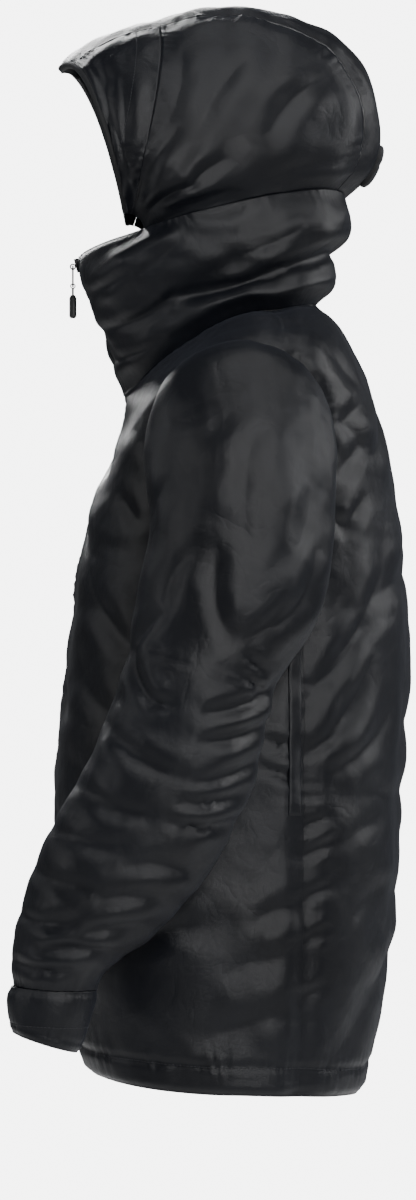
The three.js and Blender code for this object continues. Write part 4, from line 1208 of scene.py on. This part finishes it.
def cloth_material(name, dark, light, roughness, spread, specular, sheen, crinkle, crinkle_size, weave, pitch, by_uv=True):
    """Coated cloth: colour between two shades and roughness about a value, both by
    slow clouds, with bump from the crinkle and the weave."""
    material = bpy.data.materials.new(name)
    material.use_nodes = True
    tree = material.node_tree
    shader = tree.nodes["Principled BSDF"]
    place = tree.nodes.new("ShaderNodeTexCoord")
    wrinkles = tree.nodes.new("ShaderNodeGroup")
    wrinkles.node_tree = CRINKLE
    wrinkles.inputs["Size"].default_value = crinkle_size
    tree.links.new(place.outputs["Object"], wrinkles.inputs["Vector"])
    threads = tree.nodes.new("ShaderNodeGroup")
    threads.node_tree = WEAVE
    threads.inputs["Pitch"].default_value = pitch
    tree.links.new(place.outputs["UV" if by_uv else "Object"], threads.inputs["Vector"])
    ramp = tree.nodes.new("ShaderNodeValToRGB")
    ramp.color_ramp.elements[0].position = 0.32
    ramp.color_ramp.elements[0].color = (*dark, 1)
    ramp.color_ramp.elements[1].position = 0.7
    ramp.color_ramp.elements[1].color = (*light, 1)
    tree.links.new(wrinkles.outputs["Cloud"], ramp.inputs["Fac"])
    tree.links.new(ramp.outputs["Color"], shader.inputs["Base Color"])
    wear = math_node(tree, "MULTIPLY", math_node(tree, "SUBTRACT", wrinkles.outputs["Cloud"], 0.5), spread)
    tree.links.new(math_node(tree, "ADD", wear, roughness), shader.inputs["Roughness"])
    fine = tree.nodes.new("ShaderNodeBump")
    fine.inputs["Distance"].default_value = weave
    tree.links.new(threads.outputs["Height"], fine.inputs["Height"])
    bump = tree.nodes.new("ShaderNodeBump")
    bump.inputs["Distance"].default_value = crinkle
    tree.links.new(wrinkles.outputs["Height"], bump.inputs["Height"])
    tree.links.new(fine.outputs["Normal"], bump.inputs["Normal"])
    tree.links.new(bump.outputs["Normal"], shader.inputs["Normal"])
    shader.inputs["Specular IOR Level"].default_value = specular
    shader.inputs["Sheen Weight"].default_value = sheen
    shader.inputs["Sheen Roughness"].default_value = 0.45
    shader.inputs["Sheen Tint"].default_value = (0.62, 0.68, 0.85, 1)
    return material


def hard_material(name, colour, worn, metallic, roughness, grain):
    """Painted metal or moulded plastic: fine grain in bump and roughness, and a paler
    shade where the finish is rubbed, by noise."""
    material = bpy.data.materials.new(name)
    material.use_nodes = True
    tree = material.node_tree
    shader = tree.nodes["Principled BSDF"]
    place = tree.nodes.new("ShaderNodeTexCoord")
    noise = tree.nodes.new("ShaderNodeTexNoise")
    noise.inputs["Scale"].default_value = 900.0
    noise.inputs["Detail"].default_value = 3.0
    tree.links.new(place.outputs["Object"], noise.inputs["Vector"])
    ramp = tree.nodes.new("ShaderNodeValToRGB")
    ramp.color_ramp.elements[0].position = 0.5
    ramp.color_ramp.elements[0].color = (*colour, 1)
    ramp.color_ramp.elements[1].position = 0.78
    ramp.color_ramp.elements[1].color = (*worn, 1)
    tree.links.new(noise.outputs["Fac"], ramp.inputs["Fac"])
    tree.links.new(ramp.outputs["Color"], shader.inputs["Base Color"])
    vary = math_node(tree, "ADD", math_node(tree, "MULTIPLY", noise.outputs["Fac"], 0.2), roughness - 0.1)
    tree.links.new(vary, shader.inputs["Roughness"])
    bump = tree.nodes.new("ShaderNodeBump")
    bump.inputs["Distance"].default_value = grain
    tree.links.new(noise.outputs["Fac"], bump.inputs["Height"])
    tree.links.new(bump.outputs["Normal"], shader.inputs["Normal"])
    shader.inputs["Metallic"].default_value = metallic
    return material


# Camera
camera = bpy.data.objects.new("camera", bpy.data.cameras.new("camera"))
camera.data.lens = CAMERA_LENS
camera.data.sensor_width = 36
camera.location = (CAMERA_DISTANCE, CAMERA_Y, CAMERA_Z)
camera.rotation_euler = (90 * DEGREE, 0, 90 * DEGREE)
bpy.context.scene.collection.objects.link(camera)
bpy.context.scene.camera = camera

# Finishes
SHELL = cloth_material("black_coated_nylon", (0.0022, 0.0026, 0.0042), (0.0042, 0.0050, 0.0076),
                       0.37, 0.2, 0.27, 0.03, 0.0004, 17.0, 0.00003, 0.0006)
TRIM = cloth_material("black_matt_tape", (0.0045, 0.0046, 0.0052), (0.0080, 0.0082, 0.0092),
                      0.68, 0.2, 0.3, 0.05, 0.0004, 60.0, 0.00008, 0.0009, by_uv=False)
THREAD = cloth_material("black_thread", (0.0085, 0.0088, 0.0105), (0.0140, 0.0145, 0.0170),
                        0.52, 0.1, 0.4, 0.1, 0.0001, 200.0, 0.00003, 0.0004, by_uv=False)
TEETH = hard_material("black_moulded_teeth", (0.008, 0.008, 0.009), (0.016, 0.016, 0.018), 0.0, 0.4, 0.00003)
METAL = hard_material("black_painted_metal", (0.010, 0.010, 0.011), (0.05, 0.05, 0.055), 0.4, 0.36, 0.00002)
RUBBER = hard_material("black_rubber", (0.009, 0.009, 0.010), (0.016, 0.016, 0.018), 0.0, 0.48, 0.00004)

SIDES = ((1, "left"), (-1, "right"))

# Closed solids that trim the armholes
body_cutter = capped_mesh("body_cutter", body_solid())
sleeve_cutters = {}
for side, word in SIDES:
    outer, _ = sleeve_grids(side, swell=0.6, first=0.0, last=8.6, across=150, along=96)
    sleeve_cutters[side] = capped_mesh("sleeve_cutter_" + word, outer)

stitches = []
for side, word in SIDES:
    outer, inner = front_panel(side)
    normal = outward(outer, np.array([0.0, 0.0, -350.0]))
    zip_edge, seam, hem, neck = edge_distances(outer)
    stitches.append(contour(outer, normal, hem, HEM_STITCH_HEIGHT, 1))
    stitches.append(contour(outer, normal, zip_edge, 14, 0))
    front = wall_mesh("front_panel_" + word, outer, inner)
    finish_piece(trim(front, sleeve_cutters[side]), SHELL, "front_" + word)
    welt = wall_mesh("pocket_welt_cloth_" + word, *welt_grids(outer, side))
    finish_piece(welt, SHELL, "pocket_welt_" + word)

outer, inner = back_panel()
normal = outward(outer, np.array([0.0, 0.0, -350.0]))
stitches.append(contour(outer, normal, edge_distances(outer)[2], HEM_STITCH_HEIGHT, 1))
back = wall_mesh("back_panel", outer, inner)
finish_piece(trim(back, sleeve_cutters[1], sleeve_cutters[-1]), SHELL, "back")

for side, word in SIDES:
    sleeve = wall_mesh("sleeve_tube_" + word, *sleeve_grids(side), closed=True)
    finish_piece(trim(sleeve, body_cutter), SHELL, "sleeve_" + word)
    outer, inner = cuff_grids(side)
    normal = outward(outer, outer.mean(axis=0, keepdims=True), closed=True)
    along = arc_lengths(outer, 1)
    row, out = contour(outer, normal, along, along[:, -1].min() - 9, 1)
    stitches.append((np.concatenate([row, row[:1]]), np.concatenate([out, out[:1]])))
    finish_piece(wall_mesh("cuff_band_" + word, outer, inner, closed=True), SHELL, "cuff_" + word)

    outer, inner = collar_half(side)
    normal = outward(outer, np.array([0.0, -20.0, 30.0]))
    stitches.append(contour(outer, normal, edge_distances(outer)[0], 14, 0))
    finish_piece(wall_mesh("collar_roll_" + word, outer, inner), SHELL, "collar_" + word)

    outer, inner = hood_grids("side", side, 90, 100)
    finish_piece(wall_mesh("hood_panel_" + word, outer, inner), SHELL, "hood_side_" + word)
    outer, inner = hood_grids("brim", side, 90, 36)
    normal = outward(outer, np.array([0.0, -20.0, 190.0]))
    stitches.append(contour(outer, normal, edge_distances(outer)[2], 24, 1))
    finish_piece(wall_mesh("hood_brim_panel_" + word, outer, inner), SHELL, "hood_brim_" + word)

outer, inner = hood_grids("crown", 1, 48, 150)
finish_piece(wall_mesh("hood_crown_strip", outer, inner), SHELL, "hood_crown")

finish_piece(wall_mesh("hood_adjuster_cover", *hood_tab_grids()), TRIM, "hood_tab")

# Binding round the face opening
rise = np.linspace(0.03, 1.97, 240)
edge_angle = fan_angle(rise, np.full_like(rise, 2.0))
edge = hood_points(edge_angle, rise)
below = hood_points(edge_angle - 3, rise)
toward = (edge - below) / np.linalg.norm(edge - below, axis=1, keepdims=True)
binding = tube_mesh("face_binding", edge * 0.985 + np.array([0, -0.2, 2.4]) - toward * 1.0, np.full(240, 2.7), 12)
finish_piece(binding, TRIM, None)

# Folded seam allowances, just under the sewn edges
across = np.linspace(0, 1, 220)
seam_lines = []
neck_angle = ZIP_HALF / 92 + (2 * math.pi - 2 * ZIP_HALF / 92) * across
neck_row = {name: column[-1] for name, column in BODY.items()}
neck_line = loop_points(neck_row, neck_angle)
seam_lines.append(("neck", neck_line - away(neck_line, -15.0, 0.6) * 6.2, 1.7))
foot_rise = 2 * across
foot_line = hood_points(fan_angle(foot_rise, np.zeros(220)), foot_rise)
seam_lines.append(("hood_foot", foot_line - away(foot_line, -20.0, 0.0) * 6.0, 1.7))
back_line = collar_points(np.full((60, 1), math.pi), np.linspace(0.3, 4.9, 60)[:, None])[:, 0]
seam_lines.append(("collar_back", back_line - np.array([0, 5.2, 0]), 1.5))
for side, word in SIDES:
    place = 2 * np.linspace(0.01, 0.985, 220)
    rise = edge_rise(place)
    crown_line = hood_points(fan_angle(rise, place), rise)
    middle = np.array([0.0, -20.0, 180.0])
    inward = (middle - crown_line) / np.linalg.norm(middle - crown_line, axis=1, keepdims=True)
    brim_rise = np.linspace(0.1, 0.97, 80)
    brim_line = hood_points(fan_angle(brim_rise, np.ones(80)), brim_rise)
    brim_inward = (middle - brim_line) / np.linalg.norm(middle - brim_line, axis=1, keepdims=True)
    side_row = rows_at(BODY, np.linspace(0.05, 14.95, 260))
    side_line = loop_points(side_row, seam_angle(side_row))
    side_normal = outward(np.stack([loop_points(side_row, seam_angle(side_row) + turn) for turn in (-0.02, 0, 0.02)]),
                          np.array([0.0, 0.0, -350.0]))[1]
    body_line = side_line - side_normal * 8.4
    cut = np.where(nearest(side_line, ARMHOLE)[0] < 9)[0]
    hole = ARMHOLE[::2]
    to_middle = hole.mean(axis=0) - hole
    to_middle /= np.linalg.norm(to_middle, axis=1, keepdims=True)
    hole = np.concatenate([hole, hole[:2]]) + np.concatenate([to_middle, to_middle[:2]]) * 5.5 - np.array([1.5, 0, 0])
    lines = [("armhole", hole, 3.6), ("hood_crown_seam", crown_line + inward * 5.4, 1.3), ("hood_brim_seam", brim_line + brim_inward * 5.2, 1.3),
             ("side_seam", body_line[:cut.min()], 1.8), ("shoulder_seam", body_line[cut.max():], 1.8)]
    for name, line, radius in lines:
        seam_lines.append((name + "_" + word, line if side > 0 else mirror_points(line), radius))
for name, line, radius in seam_lines:
    allowance = tube_mesh(name + "_allowance", line, np.full(len(line), radius), 8)
    finish_piece(allowance, TRIM, None)

tape, tape_length = zip_tape_mesh("zip_tape_strip")
finish_piece(tape, TRIM, "zip_tape")
finish_piece(zip_teeth_mesh("zip_teeth"), TEETH, None)
finish_piece(stitch_mesh("stitch_rows", stitches), THREAD, None)

for node, material in (("zip_slider", METAL), ("zip_pull_tab", METAL), ("zip_pull_end", RUBBER)):
    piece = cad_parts[node]
    piece.data.materials.clear()
    piece.data.materials.append(material)

for cutter in (body_cutter, *sleeve_cutters.values()):
    bpy.data.objects.remove(cutter, do_unlink=True)

# Stage: a pale round floor, a white world and soft lights
turn = np.linspace(0, 2 * math.pi, 64, endpoint=False)
ring = np.stack([3.6 * np.cos(turn), 3.6 * np.sin(turn), np.full(64, FLOOR_Z)], -1)
floor_mesh = bpy.data.meshes.new("floor")
floor_mesh.from_pydata(ring.tolist(), [], [list(range(64))])
floor = bpy.data.objects.new("floor", floor_mesh)
bpy.context.scene.collection.objects.link(floor)
floor_paint = bpy.data.materials.new("pale_floor")
floor_paint.use_nodes = True
floor_paint.node_tree.nodes["Principled BSDF"].inputs["Base Color"].default_value = (0.75, 0.75, 0.75, 1)
floor_paint.node_tree.nodes["Principled BSDF"].inputs["Roughness"].default_value = 0.9
floor_mesh.materials.append(floor_paint)

world = bpy.data.worlds.new("studio")
bpy.context.scene.world = world
world.use_nodes = True
tree = world.node_tree
background = tree.nodes["Background"]
background.inputs["Color"].default_value = (1, 1, 1, 1)
path = tree.nodes.new("ShaderNodeLightPath")
seen = math_node(tree, "MULTIPLY", path.outputs["Is Camera Ray"], 6.0)
tree.links.new(math_node(tree, "ADD", seen, 0.07), background.inputs["Strength"])

LIGHTS = (
    ("key", (4.2, 1.2, 1.5), 1.7, 190),
    ("top", (0.5, 0.5, 2.7), 1.5, 34),
    ("front", (0.8, -3.4, 1.2), 1.6, 40),
    ("far_key", (-3.6, -0.8, 1.5), 1.8, 150),
    ("back", (-0.6, 3.4, 1.2), 1.6, 80),
)
for name, place, size, power in LIGHTS:
    lamp = bpy.data.objects.new(name, bpy.data.lights.new(name, "AREA"))
    lamp.data.shape = "DISK"
    lamp.data.size = size
    lamp.data.energy = power
    lamp.location = place
    lamp.rotation_euler = (Vector((0, 0, -0.15)) - Vector(place)).to_track_quat("-Z", "Y").to_euler()
    bpy.context.scene.collection.objects.link(lamp)
